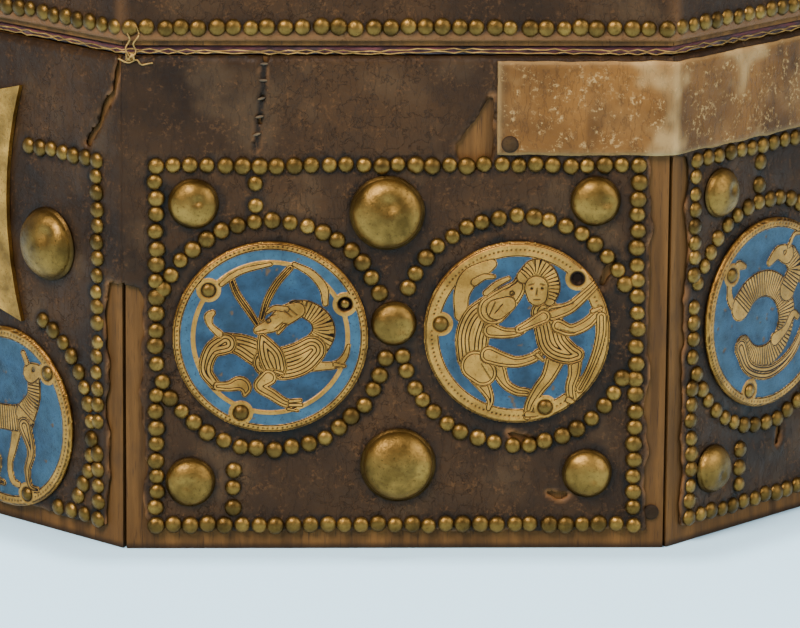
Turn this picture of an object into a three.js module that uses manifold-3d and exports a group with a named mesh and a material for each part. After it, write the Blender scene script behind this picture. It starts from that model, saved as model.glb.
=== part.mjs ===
// An eight-sided wooden casket covered in studded leather, with enamelled copper medallions on its sides.
// Millimetres, +Z up. The origin is the middle of the underside, and side 0 faces -Y.
import * as THREE from "three";
import { mergeVertices } from "three/addons/utils/BufferGeometryUtils.js";
import Module from "manifold-3d";

const wasm = await Module();
wasm.setup();

// Boards
const SIDES = 8;
const SIDE_LENGTH = 184;
const BODY_HEIGHT = 170.3;
const WALL = 11;
const CORNER_GAP = 1.3;
const BOTTOM_THICKNESS = 10;
const LID_RIM_HEIGHT = 34;
const LID_TOP_THICKNESS = 10;
const TOUCH = 0.3;

// Silk lining that shows between the body and the lid
const SILK_THICKNESS = 3.2;
const SILK_INSET = 1.2;

// Leather cover
const LEATHER = 1.5;
const LEATHER_FOOT = 5.6;
const LEATHER_SIDE_MARGIN = 6.5;
const LEATHER_TOP_MARGIN = 0.5;
const LID_LEATHER_FOOT = 1.6;
const LOCK_CORNER_BARE_HEIGHT = 92;

// Leather repair that wraps the corner between sides 0 and 1
const PATCH_THICKNESS = 1.3;
const PATCH_FOOT_CLEARANCE = 0.95;
const PATCH_TOP_MARGIN = 1;
const PATCH_START = 33;
const PATCH_RETURN = 96;
const PATCH_NAIL_DIAMETER = 6;
const PATCH_NAIL_HEIGHT = 0.8;
const PATCH_NAIL_INSET = 4.2;

// Brass nails and bosses
const NAIL_WIDTH = 5.1;
const NAIL_HEIGHT = 1.7;
const SMALL_BOSS_DIAMETER = 17;
const BIG_BOSS_DIAMETER = 25.4;
const MIDDLE_BOSS_DIAMETER = 15.4;
const BOSS_RISE = 0.27;
const BOSS_SIDES = 20;
const FUSED_BOSS_SIDES = 8;

// Nail rows of a side, from the middle of its foot
const ROW_HALF_WIDTH = 81;
const FOOT_ROW_Z = 8.8;
const ROW_END_CLEARANCE = 1;
const RING_OVERLAP = 1;
const RING_OVER_FOOT_ROW = 26.6;
const RING_UNDER_TOP_ROW = 18.3;
const RING_SEGMENTS = 6;
const RING_UPPER_START = 0.39;
const RING_LOWER_START = 0.18;
const RING_END = 2.78;
const STUB_OFFSET = 6;
const RING_RADIUS = (ROW_HALF_WIDTH - RING_OVERLAP) / 2;
const MEDALLION_X = RING_RADIUS + 1.5 * RING_OVERLAP;
const MEDALLION_Z = FOOT_ROW_Z + RING_OVER_FOOT_ROW + RING_RADIUS;
const TOP_ROW_Z = MEDALLION_Z + RING_RADIUS + RING_UNDER_TOP_ROW;

// Enamelled medallions, each inside its ring of nails
const MEDALLION_CLEARANCES = [4.7, 6.2];
const MEDALLION_THICKNESS = 2;
const MEDALLION_BEVEL = 0.6;
const MEDALLION_SEGMENTS = 22;
const MEDALLION_DIAMETERS = MEDALLION_CLEARANCES.map((clearance) => 2 * (RING_RADIUS - clearance) - NAIL_WIDTH);

// Bosses of a side, set in from its nail rows
const BOSS_ACROSS_CLEARANCE = 2.15;
const BOSS_UPPER_CLEARANCE = 1.75;
const BOSS_LOWER_CLEARANCE = 5.35;
const BIG_BOSS_CLEARANCE = 1.25;
const BIG_BOSS_LOWER_CLEARANCE = 5.55;
const UPPER_BIG_BOSS_X = -2;
const MIDDLE_BOSS_RISE = 4.1;
const FOOT_STUB_CLEARANCE = 1.75;
const SMALL_BOSS_INSET = (NAIL_WIDTH + SMALL_BOSS_DIAMETER) / 2;
const BIG_BOSS_INSET = (NAIL_WIDTH + BIG_BOSS_DIAMETER) / 2;
const CORNER_BOSS_X = ROW_HALF_WIDTH - SMALL_BOSS_INSET - BOSS_ACROSS_CLEARANCE;
const UPPER_BOSS_Z = TOP_ROW_Z - SMALL_BOSS_INSET - BOSS_UPPER_CLEARANCE;
const LOWER_BOSS_Z = FOOT_ROW_Z + SMALL_BOSS_INSET + BOSS_LOWER_CLEARANCE;
const UPPER_BIG_BOSS_Z = TOP_ROW_Z - BIG_BOSS_INSET - BIG_BOSS_CLEARANCE;
const LOWER_BIG_BOSS_Z = FOOT_ROW_Z + BIG_BOSS_INSET + BIG_BOSS_LOWER_CLEARANCE;
const MIDDLE_BOSS_Z = MEDALLION_Z + MIDDLE_BOSS_RISE;
const STUB_X = MEDALLION_X + STUB_OFFSET;
const FOOT_STUB_X = CORNER_BOSS_X - SMALL_BOSS_INSET - FOOT_STUB_CLEARANCE;

// The lock side has a copper plate over two medallions that sit lower
const LOCK_SIDE = 7;
const LOCK_MEDALLION_X = 38;
const LOCK_MEDALLION_FOOT = 4.25;
const LOCK_BOSS_X = 58;
const LOCK_BOSS_DROP = 11;
const LOCK_RING_START = -0.6;
const LOCK_RING_END = 1.15;
const LOCK_ROW_CLEARANCE = 0.85;
const LOCK_PLATE_WIDTH = 91;
const LOCK_PLATE_CLEARANCE = 2.25;
const LOCK_PLATE_TOP_MARGIN = 16;
const LOCK_PLATE_ROW_CLEARANCE = 3.45;
const LOCK_PLATE_WAIST = 7;
const LOCK_PLATE_THICKNESS = 1.6;
const KEYHOLE_RADIUS = 3.2;
const KEYHOLE_SLOT = 9;
const KEYHOLE_SLOT_WIDTH = 3;
const LOCK_MEDALLION_RADIUS = Math.max(...MEDALLION_DIAMETERS) / 2;
const LOCK_MEDALLION_Z = LOCK_MEDALLION_RADIUS + LOCK_MEDALLION_FOOT;
const LOCK_PLATE_FOOT = LOCK_MEDALLION_Z + LOCK_MEDALLION_RADIUS + LOCK_PLATE_CLEARANCE;
const LOCK_PLATE_TOP = BODY_HEIGHT - LOCK_PLATE_TOP_MARGIN;
const LOCK_PLATE_HEIGHT = LOCK_PLATE_TOP - LOCK_PLATE_FOOT;
const LOCK_PLATE_Z = (LOCK_PLATE_TOP + LOCK_PLATE_FOOT) / 2;
const LOCK_BOSS_Z = LOCK_PLATE_Z - LOCK_BOSS_DROP;

// Lid
const LID_ROW_Z = 4.8;
const LID_EDGE_ROW_INSET = 9;
const LID_RING_RADIUS = 52;
const LID_BOSS_RADIUS = 134;
const LID_MEDALLION_DIAMETER = 65.5;

const APOTHEM = SIDE_LENGTH / (2 * Math.tan(Math.PI / SIDES));
const LEATHER_BACK = APOTHEM + TOUCH;
const LEATHER_FACE = LEATHER_BACK + LEATHER;
const TRIM_BACK = LEATHER_FACE + TOUCH;
const LID_Z = BODY_HEIGHT + SILK_THICKNESS + 2 * TOUCH;
const LID_TOP_Z = LID_Z + LID_RIM_HEIGHT + TOUCH;
const LID_TOP_FACE = LID_TOP_Z + LID_TOP_THICKNESS;
const LID_LEATHER_TOP = LID_TOP_FACE + TOUCH + LEATHER;
const NAIL_SINK = 0.4;

// Solids

function solidOf(geometry) {
  const bare = geometry.clone();
  bare.deleteAttribute("normal");
  bare.deleteAttribute("uv");
  const merged = mergeVertices(bare, 1e-4);
  return new wasm.Manifold(
    new wasm.Mesh({
      numProp: 3,
      vertProperties: new Float32Array(merged.attributes.position.array),
      triVerts: new Uint32Array(merged.index.array),
    }),
  );
}

function geometryOf(solid) {
  const { vertProperties, triVerts, numProp } = solid.getMesh();
  const places = new Float32Array((vertProperties.length / numProp) * 3);
  for (let i = 0; i < places.length / 3; i++) {
    for (let axis = 0; axis < 3; axis++) places[3 * i + axis] = vertProperties[numProp * i + axis];
  }
  const geometry = new THREE.BufferGeometry();
  geometry.setAttribute("position", new THREE.BufferAttribute(places, 3));
  geometry.setIndex(Array.from(triVerts));
  geometry.computeVertexNormals();
  return geometry;
}

function joined(solids) {
  return solids.reduce((all, next) => all.add(next));
}

// A flat outline raised from `low` to `high` along Z.
function slab(shape, low, high, curveSegments = 8) {
  const geometry = new THREE.ExtrudeGeometry(shape, { depth: high - low, bevelEnabled: false, curveSegments });
  return geometry.translate(0, 0, low);
}

function polygon(points) {
  return new THREE.Shape(points.map(([x, y]) => new THREE.Vector2(x, y)));
}

function rectangle(left, right, low, high) {
  return polygon([[left, low], [right, low], [right, high], [left, high]]);
}

// Half the length of a side at a distance from the axis.
function halfSide(distance) {
  return distance * Math.tan(Math.PI / SIDES);
}

function octagon(apothem) {
  const corner = apothem / Math.cos(Math.PI / SIDES);
  const points = [];
  for (let i = 0; i < SIDES; i++) {
    const angle = (i + 0.5) * ((2 * Math.PI) / SIDES);
    points.push([corner * Math.cos(angle), corner * Math.sin(angle)]);
  }
  return polygon(points);
}

// A mitred board of side 0, which faces -Y.
function mitredBoard(inner, outer, low, high, gap = 0) {
  const trim = gap / 2 / Math.cos(Math.PI / SIDES);
  const back = halfSide(inner) - trim;
  const front = halfSide(outer) - trim;
  return slab(polygon([[-front, -outer], [front, -outer], [back, -inner], [-back, -inner]]), low, high);
}

// Stands a geometry drawn in a side's own plane, x to the right, y up and z outwards, on side 0.
function stood(geometry, distance) {
  return geometry.rotateX(Math.PI / 2).translate(0, -distance, 0);
}

function turn(side) {
  return ((2 * Math.PI) / SIDES) * side;
}

// Materials

const finishes = {
  oak: { color: 0x8a6238, roughness: 0.75, metalness: 0 },
  leather: { color: 0x4a3426, roughness: 0.6, metalness: 0 },
  patch_leather: { color: 0xa07748, roughness: 0.8, metalness: 0 },
  silk: { color: 0x5c2a30, roughness: 0.7, metalness: 0 },
  brass: { color: 0x9c8145, roughness: 0.4, metalness: 0.8 },
  gilt_copper: { color: 0xc79d52, roughness: 0.35, metalness: 0.9 },
  enamel: { color: 0x2f6ea3, roughness: 0.3, metalness: 0.1 },
  iron: { color: 0x4a4340, roughness: 0.7, metalness: 0.5 },
};
const materials = Object.fromEntries(
  Object.entries(finishes).map(([name, values]) => [name, new THREE.MeshStandardMaterial(values)]),
);

const casket = new THREE.Group();

function place(name, geometry, finish, side = 0, parent = casket) {
  const mesh = new THREE.Mesh(geometry, materials[finish]);
  mesh.name = name;
  mesh.rotation.z = turn(side);
  parent.add(mesh);
  return mesh;
}

// Boards

function addBoards() {
  place("bottom_board", slab(octagon(APOTHEM - WALL - TOUCH), 0, BOTTOM_THICKNESS), "oak");
  for (let side = 0; side < SIDES; side++) {
    const wall = mitredBoard(APOTHEM - WALL, APOTHEM, 0, BODY_HEIGHT, CORNER_GAP);
    place(`wall_board_${side}`, wall, "oak", side);
    const rim = mitredBoard(APOTHEM - WALL, APOTHEM, LID_Z, LID_Z + LID_RIM_HEIGHT, TOUCH);
    place(`lid_rim_board_${side}`, rim, "oak", side);
  }
  place("lid_top_board", slab(octagon(APOTHEM), LID_TOP_Z, LID_TOP_FACE), "oak");
}

function addSilk() {
  const ring = octagon(APOTHEM - SILK_INSET);
  ring.holes.push(new THREE.Path(octagon(APOTHEM - WALL).getPoints().reverse()));
  const low = BODY_HEIGHT + TOUCH;
  place("silk_edge", slab(ring, low, low + SILK_THICKNESS), "silk");
}

// Nails and bosses

function dome(diameter, sides, base = -NAIL_SINK) {
  const radius = diameter / 2;
  const rise = diameter * BOSS_RISE;
  const steps = sides > FUSED_BOSS_SIDES ? 4 : 2;
  const profile = [new THREE.Vector2(0, base)];
  if (base < 0) profile.push(new THREE.Vector2(radius, base));
  for (let i = 0; i <= steps; i++) {
    const angle = (i / steps) * (Math.PI / 2);
    profile.push(new THREE.Vector2(i === steps ? 0 : radius * Math.cos(angle), rise * Math.sin(angle)));
  }
  return new THREE.LatheGeometry(profile, sides).rotateX(Math.PI / 2);
}

// A boss that rests on the leather of a side, on its own.
function looseDome(diameter) {
  return dome(diameter, BOSS_SIDES, 0);
}

// A straight row of nails, as a low strip of their mean height.
function nailBar(x0, y0, x1, y1) {
  const half = Math.hypot(x1 - x0, y1 - y0) / 2 + NAIL_WIDTH / 2;
  const bar = slab(rectangle(-half, half, -NAIL_WIDTH / 2, NAIL_WIDTH / 2), -NAIL_SINK, NAIL_HEIGHT);
  bar.rotateZ(Math.atan2(y1 - y0, x1 - x0));
  return bar.translate((x0 + x1) / 2, (y0 + y1) / 2, 0);
}

// A row of nails along an arc, as a low curved strip.
function nailArc(x, y, radius, from, to, segments) {
  const edge = (distance, a, b) => {
    const points = [];
    for (let i = 0; i <= segments; i++) {
      const angle = a + ((b - a) * i) / segments;
      points.push([x + distance * Math.cos(angle), y + distance * Math.sin(angle)]);
    }
    return points;
  };
  const outline = [...edge(radius + NAIL_WIDTH / 2, from, to), ...edge(radius - NAIL_WIDTH / 2, to, from)];
  return slab(polygon(outline), -NAIL_SINK, NAIL_HEIGHT);
}

const sideBosses = [
  ["upper_left_boss", -CORNER_BOSS_X, UPPER_BOSS_Z, SMALL_BOSS_DIAMETER],
  ["upper_right_boss", CORNER_BOSS_X, UPPER_BOSS_Z, SMALL_BOSS_DIAMETER],
  ["lower_left_boss", -CORNER_BOSS_X, LOWER_BOSS_Z, SMALL_BOSS_DIAMETER],
  ["lower_right_boss", CORNER_BOSS_X, LOWER_BOSS_Z, SMALL_BOSS_DIAMETER],
  ["upper_big_boss", UPPER_BIG_BOSS_X, UPPER_BIG_BOSS_Z, BIG_BOSS_DIAMETER],
  ["lower_big_boss", 0, LOWER_BIG_BOSS_Z, BIG_BOSS_DIAMETER],
  ["middle_boss", 0, MIDDLE_BOSS_Z, MIDDLE_BOSS_DIAMETER],
];
const lockBosses = [
  ["left_boss", -LOCK_BOSS_X, LOCK_BOSS_Z, BIG_BOSS_DIAMETER],
  ["right_boss", LOCK_BOSS_X, LOCK_BOSS_Z, BIG_BOSS_DIAMETER],
];

// The rows along the foot, the top and both ends of a side.
function frameRows(footSpans, topSpans) {
  return [
    ...footSpans.map(([from, to]) => nailBar(from, FOOT_ROW_Z, to, FOOT_ROW_Z)),
    ...topSpans.map(([from, to]) => nailBar(from, TOP_ROW_Z, to, TOP_ROW_Z)),
    ...[-ROW_HALF_WIDTH, ROW_HALF_WIDTH].map((x) => nailBar(x, FOOT_ROW_Z, x, TOP_ROW_Z)),
  ];
}

// The two arcs round a medallion, from beside the middle boss to the row at the end of the side.
function medallionRing(middle, inward) {
  const out = inward === 0 ? 1 : -1;
  return [
    [out * RING_UPPER_START, out * RING_END],
    [-out * RING_LOWER_START, -out * RING_END],
  ].map(([from, to]) => nailArc(middle, MEDALLION_Z, RING_RADIUS, inward + from, inward + to, RING_SEGMENTS));
}

function sideRows() {
  const whole = [[-ROW_HALF_WIDTH, ROW_HALF_WIDTH]];
  return [
    ...frameRows(whole, whole),
    ...medallionRing(-MEDALLION_X, 0),
    ...medallionRing(MEDALLION_X, Math.PI),
    nailBar(-STUB_X, MEDALLION_Z + RING_RADIUS, -STUB_X, TOP_ROW_Z),
    nailBar(-FOOT_STUB_X, FOOT_ROW_Z, -FOOT_STUB_X, MEDALLION_Z - RING_RADIUS + NAIL_WIDTH / 2),
  ];
}

// On the lock side an arc of nails runs over the outer half of each medallion.
function lockRows() {
  const drop = LOCK_MEDALLION_Z - FOOT_ROW_Z - NAIL_WIDTH / 2;
  const chord = Math.sqrt(Math.max(LOCK_MEDALLION_RADIUS ** 2 - drop ** 2, 0));
  const gap = chord + NAIL_WIDTH / 2 + LOCK_ROW_CLEARANCE;
  const outer = LOCK_MEDALLION_X + gap;
  const inner = LOCK_MEDALLION_X - gap;
  const beside = (LOCK_PLATE_WIDTH + NAIL_WIDTH) / 2 + LOCK_PLATE_ROW_CLEARANCE;
  const footSpans = [[-ROW_HALF_WIDTH, -outer], [-inner, inner], [outer, ROW_HALF_WIDTH]];
  const topSpans = [[-ROW_HALF_WIDTH, -beside], [beside, ROW_HALF_WIDTH]];
  const [from, to] = [LOCK_RING_START, LOCK_RING_END];
  return [
    ...frameRows(footSpans, topSpans),
    nailArc(LOCK_MEDALLION_X, LOCK_MEDALLION_Z, RING_RADIUS, from, to, RING_SEGMENTS),
    nailArc(-LOCK_MEDALLION_X, LOCK_MEDALLION_Z, RING_RADIUS, Math.PI - to, Math.PI - from, RING_SEGMENTS),
  ];
}

// Leather

const bareHeights = { [LOCK_SIDE]: LOCK_CORNER_BARE_HEIGHT, 0: TOP_ROW_Z + NAIL_WIDTH / 2 };

// The height up to which the corner after a side has lost its leather.
function bareHeight(side) {
  return bareHeights[(side + SIDES) % SIDES] ?? UPPER_BOSS_Z;
}

function leatherSheet(side) {
  const top = BODY_HEIGHT - LEATHER_TOP_MARGIN;
  const whole = solidOf(mitredBoard(LEATHER_BACK, LEATHER_FACE, LEATHER_FOOT, top, TOUCH));
  const edge = SIDE_LENGTH / 2 - LEATHER_SIDE_MARGIN;
  const past = SIDE_LENGTH + BODY_HEIGHT;
  const cuts = [
    rectangle(edge, past, 0, bareHeight(side)),
    rectangle(-past, -edge, 0, bareHeight(side - 1)),
  ];
  return cuts.reduce(
    (sheet, cut) => sheet.subtract(solidOf(stood(slab(cut, -WALL, WALL), APOTHEM))),
    whole,
  );
}

// The nail rows and, where `bosses` is given, the bosses are fused to the sheet that they pin.
function studdedSheet(side, rows, bosses) {
  const studs = [...rows, ...bosses.map(([, x, z, diameter]) => dome(diameter, FUSED_BOSS_SIDES).translate(x, z, 0))];
  return joined([leatherSheet(side), ...studs.map((stud) => solidOf(stood(stud, LEATHER_FACE)))]);
}

function addLeather() {
  for (let side = 0; side < SIDES; side++) {
    const isLock = side === LOCK_SIDE;
    const bosses = isLock ? lockBosses : sideBosses;
    const loose = isLock || side === 0;
    const sheet = studdedSheet(side, isLock ? lockRows() : sideRows(), loose ? [] : bosses);
    place(`leather_side_${side}`, geometryOf(sheet), "leather", side);
    if (!loose) continue;
    for (const [name, x, z, diameter] of bosses) {
      const boss = stood(looseDome(diameter).translate(x, z, 0), TRIM_BACK);
      place(isLock ? `lock_side_${name}` : name, boss, "brass", side);
    }
  }
}

function addPatch() {
  const back = TRIM_BACK;
  const face = back + PATCH_THICKNESS;
  const top = BODY_HEIGHT - PATCH_TOP_MARGIN;
  const low = TOP_ROW_Z + NAIL_WIDTH / 2 + PATCH_FOOT_CLEARANCE;
  const far = SIDE_LENGTH + BODY_HEIGHT;
  const band = solidOf(mitredBoard(back, face, low, top));
  const front = band.subtract(solidOf(stood(slab(rectangle(-far, PATCH_START, 0, far), -WALL, WALL), APOTHEM)));
  const limit = -SIDE_LENGTH / 2 + PATCH_RETURN;
  const kept = band.subtract(solidOf(stood(slab(rectangle(limit, far, 0, far), -WALL, WALL), APOTHEM)));
  const returned = kept.rotate([0, 0, 360 / SIDES]);
  place("leather_patch", geometryOf(front.add(returned)), "patch_leather");
  const nail = new THREE.CylinderGeometry(
    PATCH_NAIL_DIAMETER * 0.4,
    PATCH_NAIL_DIAMETER / 2,
    PATCH_NAIL_HEIGHT,
    12,
  );
  nail.rotateX(Math.PI / 2).translate(PATCH_START + PATCH_NAIL_INSET, low + PATCH_NAIL_INSET, PATCH_NAIL_HEIGHT / 2);
  place("patch_nail", stood(nail, face + TOUCH), "iron");
}

// Medallions and lock plate

function medallion(diameter) {
  const radius = diameter / 2;
  const bevel = MEDALLION_BEVEL;
  const profile = [
    new THREE.Vector2(0, 0),
    new THREE.Vector2(radius, 0),
    new THREE.Vector2(radius, MEDALLION_THICKNESS - bevel),
    new THREE.Vector2(radius - bevel, MEDALLION_THICKNESS),
    new THREE.Vector2(0, MEDALLION_THICKNESS),
  ];
  return new THREE.LatheGeometry(profile, MEDALLION_SEGMENTS).rotateX(Math.PI / 2);
}

function addMedallions() {
  for (let side = 0; side < SIDES; side++) {
    const isLock = side === LOCK_SIDE;
    const x = isLock ? LOCK_MEDALLION_X : MEDALLION_X;
    const z = isLock ? LOCK_MEDALLION_Z : MEDALLION_Z;
    [-x, x].forEach((across, i) => {
      const disc = stood(medallion(MEDALLION_DIAMETERS[i]).translate(across, z, 0), TRIM_BACK);
      place(`medallion_${side}_${i ? "right" : "left"}`, disc, "enamel", side);
    });
  }
}

function addLockPlate() {
  const w = LOCK_PLATE_WIDTH / 2;
  const h = LOCK_PLATE_HEIGHT / 2;
  const waist = LOCK_PLATE_WAIST * 2;
  const outline = new THREE.Shape();
  outline.moveTo(-w, -h);
  outline.quadraticCurveTo(0, -h + waist, w, -h);
  outline.quadraticCurveTo(w - waist, 0, w, h);
  outline.quadraticCurveTo(0, h - waist, -w, h);
  outline.quadraticCurveTo(-w + waist, 0, -w, -h);
  const keyhole = new THREE.Path();
  keyhole.absarc(0, 0, KEYHOLE_RADIUS, -Math.PI / 2 + 0.45, Math.PI * 1.5 - 0.45, false);
  keyhole.lineTo(-KEYHOLE_SLOT_WIDTH / 2, -KEYHOLE_SLOT);
  keyhole.lineTo(KEYHOLE_SLOT_WIDTH / 2, -KEYHOLE_SLOT);
  outline.holes.push(keyhole);
  const plate = slab(outline, 0, LOCK_PLATE_THICKNESS, 8).translate(0, LOCK_PLATE_Z, 0);
  place("lock_plate", stood(plate, TRIM_BACK), "gilt_copper", LOCK_SIDE);
}

// Lid cover

function lidCap() {
  const low = LID_Z + LID_LEATHER_FOOT;
  const outer = solidOf(slab(octagon(LEATHER_FACE), low, LID_LEATHER_TOP));
  const inner = solidOf(slab(octagon(LEATHER_BACK), low - LEATHER, LID_TOP_FACE + TOUCH));
  return outer.subtract(inner);
}

function addLidCover() {
  const rimRow = halfSide(LEATHER_FACE) - NAIL_WIDTH;
  const edge = LEATHER_FACE - LID_EDGE_ROW_INSET;
  const edgeRow = halfSide(edge) - ROW_END_CLEARANCE;
  const edgeCorner = edge / Math.cos(Math.PI / SIDES);
  const studs = [];
  for (let side = 0; side < SIDES; side++) {
    const angle = turn(side);
    const rowZ = LID_Z + LID_ROW_Z;
    studs.push(stood(nailBar(-rimRow, rowZ, rimRow, rowZ), LEATHER_FACE).rotateZ(angle));
    const flat = [
      nailBar(-edgeRow, -edge, edgeRow, -edge),
      dome(BIG_BOSS_DIAMETER, FUSED_BOSS_SIDES).translate(0, -LID_BOSS_RADIUS, 0),
      nailBar(LID_RING_RADIUS, 0, edgeCorner, 0).rotateZ(Math.PI / SIDES),
    ];
    studs.push(...flat.map((stud) => stud.rotateZ(angle).translate(0, 0, LID_LEATHER_TOP)));
  }
  for (const from of [0.1, Math.PI + 0.1]) {
    const half = nailArc(0, 0, LID_RING_RADIUS, from, from + Math.PI + 0.05, 2 * SIDES);
    studs.push(half.translate(0, 0, LID_LEATHER_TOP));
  }
  place("lid_leather", geometryOf(joined([lidCap(), ...studs.map(solidOf)])), "leather");
  const disc = medallion(LID_MEDALLION_DIAMETER).translate(0, 0, LID_LEATHER_TOP + TOUCH);
  place("lid_medallion", disc, "enamel");
}

addBoards();
addSilk();
addLeather();
addPatch();
addMedallions();
addLockPlate();
addLidCover();

export default casket;
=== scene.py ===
"""An eight-sided medieval casket in studded leather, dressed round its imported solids. Metres, +Z up."""

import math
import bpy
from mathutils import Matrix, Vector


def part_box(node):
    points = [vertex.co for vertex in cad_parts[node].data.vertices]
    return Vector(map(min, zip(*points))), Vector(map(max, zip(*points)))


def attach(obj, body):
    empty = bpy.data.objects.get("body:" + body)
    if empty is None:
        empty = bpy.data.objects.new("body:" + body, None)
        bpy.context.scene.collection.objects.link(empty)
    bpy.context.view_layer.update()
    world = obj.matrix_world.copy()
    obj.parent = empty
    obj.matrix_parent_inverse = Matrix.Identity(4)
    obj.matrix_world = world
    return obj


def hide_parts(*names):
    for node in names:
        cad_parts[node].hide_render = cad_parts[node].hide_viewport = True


bl_info = {
    "name": "Studded reliquary casket",
    "version": (1, 0, 0),
    "blender": (4, 5, 0),
    "location": "View3D > Sidebar > Casket",
    "description": "Dresses an eight-sided leather casket with nails, bosses and enamelled medallions",
    "category": "Add Mesh",
}

import bpy
import numpy as np
from mathutils import Matrix, Vector

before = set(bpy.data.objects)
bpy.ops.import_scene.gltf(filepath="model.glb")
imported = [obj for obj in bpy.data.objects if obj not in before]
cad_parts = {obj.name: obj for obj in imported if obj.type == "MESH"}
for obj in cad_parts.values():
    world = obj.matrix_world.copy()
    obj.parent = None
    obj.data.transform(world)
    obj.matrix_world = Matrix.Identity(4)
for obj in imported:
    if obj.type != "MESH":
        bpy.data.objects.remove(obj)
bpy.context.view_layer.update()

# Sizes in millimetres, which MM turns to metres. "Out" is measured from the face of a side's board.

MM = 0.001
SIDES = 8
FRONT = 0
RIGHT = 1
LOCK_SIDE = 7
LID = "lid"
SIDE_WIDTH = 184
TURN = 2 * math.pi / SIDES
HALF_TURN = math.tan(math.pi / SIDES)
SKIN = 1.5
TOUCH = 0.3
SKIN_OUT = TOUCH + SKIN
TRIM_OUT = SKIN_OUT + TOUCH
WALL_FACE = SIDE_WIDTH / (2 * HALF_TURN)
LEATHER_FACE = WALL_FACE + SKIN_OUT
TRIM_BACK = WALL_FACE + TRIM_OUT
BODY_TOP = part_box("wall_board_0")[1][2] / MM
LID_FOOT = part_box("lid_rim_board_0")[0][2] / MM
LID_SKIN_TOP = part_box("lid_medallion")[0][2] / MM - TOUCH

# Small tools


def linear(colour):
    """An sRGB hex colour as linear red, green, blue and alpha."""
    values = [int(colour[i : i + 2], 16) / 255 for i in (1, 3, 5)]
    return [v / 12.92 if v <= 0.04045 else ((v + 0.055) / 1.055) ** 2.4 for v in values] + [1.0]


def step(value, low, high):
    """A smooth rise from 0 at low to 1 at high."""
    t = np.clip((np.asarray(value, float) - low) / (high - low), 0, 1)
    return t * t * (3 - 2 * t)


def noise(x, y, size, seed):
    """Smooth noise between -1 and 1 whose bumps are about size apart."""
    count = 64
    middle = count + 0.5
    lattice = np.random.default_rng(seed).uniform(-1, 1, (count, count))
    x, y = np.asarray(x, float) / size + middle, np.asarray(y, float) / size + middle
    i, j = np.floor(x).astype(int), np.floor(y).astype(int)
    fx, fy = step(x - i, 0, 1), step(y - j, 0, 1)

    def corner(a, b):
        return lattice[(i + a) % count, (j + b) % count]

    low = corner(0, 0) * (1 - fx) + corner(1, 0) * fx
    high = corner(0, 1) * (1 - fx) + corner(1, 1) * fx
    return low * (1 - fy) + high * fy


def rough_noise(x, y, size, seed):
    """Noise with two finer and fainter layers on it."""
    finer = 0.5 * noise(x, y, size / 2.1, seed + 1) + 0.25 * noise(x, y, size / 4.3, seed + 2)
    return noise(x, y, size, seed) + finer


def on_side(side, across, height, out):
    """Places in metres of points on a side: across to the right, height, and out from the board's face."""
    across, height, out = np.broadcast_arrays(*(np.asarray(v, float) for v in (across, height, out)))
    angle = side * TURN
    x, y = across, -(WALL_FACE + out)
    turned = [x * math.cos(angle) - y * math.sin(angle), x * math.sin(angle) + y * math.cos(angle), height]
    return np.stack(turned, axis=-1) * MM


def finished_piece(name, places, faces, material, values=None, replaces=()):
    """A smooth mesh piece with its place in its vertices, and with a number from values at each of them."""
    mesh = bpy.data.meshes.new(name)
    mesh.from_pydata([tuple(p) for p in places], [], [tuple(int(i) for i in f) for f in faces])
    for key, numbers in (values or {}).items():
        attribute = mesh.attributes.new(key, "FLOAT", "POINT")
        attribute.data.foreach_set("value", np.asarray(numbers, np.float32).ravel())
    mesh.validate()
    mesh.shade_smooth()
    piece = bpy.data.objects.new(name, mesh)
    bpy.context.collection.objects.link(piece)
    mesh.materials.append(material)
    settle(piece, replaces)
    return piece


def settle(piece, replaces=()):
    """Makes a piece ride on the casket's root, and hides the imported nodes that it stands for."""
    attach(piece, "root")
    if replaces:
        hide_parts(*replaces)


def coat(name, material):
    """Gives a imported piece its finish."""
    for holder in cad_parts[name].material_slots:
        holder.material = material


def grid_faces(columns, rows, kept=None):
    """Quads of a grid whose points run along each row in turn, where all four corners are kept."""
    index = np.arange(columns * rows).reshape(rows, columns)
    quads = np.stack([index[:-1, :-1], index[:-1, 1:], index[1:, 1:], index[1:, :-1]], axis=-1).reshape(-1, 4)
    return quads if kept is None else quads[kept[quads].all(axis=1)]


def only_used(places, faces, values):
    """The points that some face uses, with the faces renumbered and the values that go with them."""
    used = np.unique(faces)
    renumber = np.full(len(places), -1)
    renumber[used] = np.arange(len(used))
    return places[used], renumber[faces], {key: np.asarray(v)[used] for key, v in values.items()}


def thickened(front, back, faces, values):
    """Points, faces and values of a closed sheet between two like skins, front and back."""
    count = len(front)
    edges = {}
    for face in faces:
        for a, b in zip(face, np.roll(face, -1)):
            edges[(int(a), int(b))] = True
    rim = [(a, b) for a, b in edges if (b, a) not in edges]
    walls = [(a, a + count, b + count, b) for a, b in rim]
    all_faces = [tuple(f) for f in faces] + [tuple(int(i) + count for i in f[::-1]) for f in faces] + walls
    return np.concatenate([front, back]), all_faces, {
        key: np.concatenate([v, v]) for key, v in values.items()
    }


def placed(side, x, y, shape, base):
    """Places of a round piece's points, on a side or, where the side is LID, flat on the lid."""
    if side == LID:
        return np.stack([x + shape[:, 0], y + shape[:, 1], base + shape[:, 2]], axis=1) * MM
    return on_side(side, x + shape[:, 0], y + shape[:, 1], base + shape[:, 2])


# Materials, where a pattern's scale is 1000 over the distance in millimetres between its marks

SMOOTH = {"interpolation_type": "SMOOTHSTEP"}
COLOURS = {"data_type": "RGBA"}
TIMES_PLUS = {"operation": "MULTIPLY_ADD"}


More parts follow.
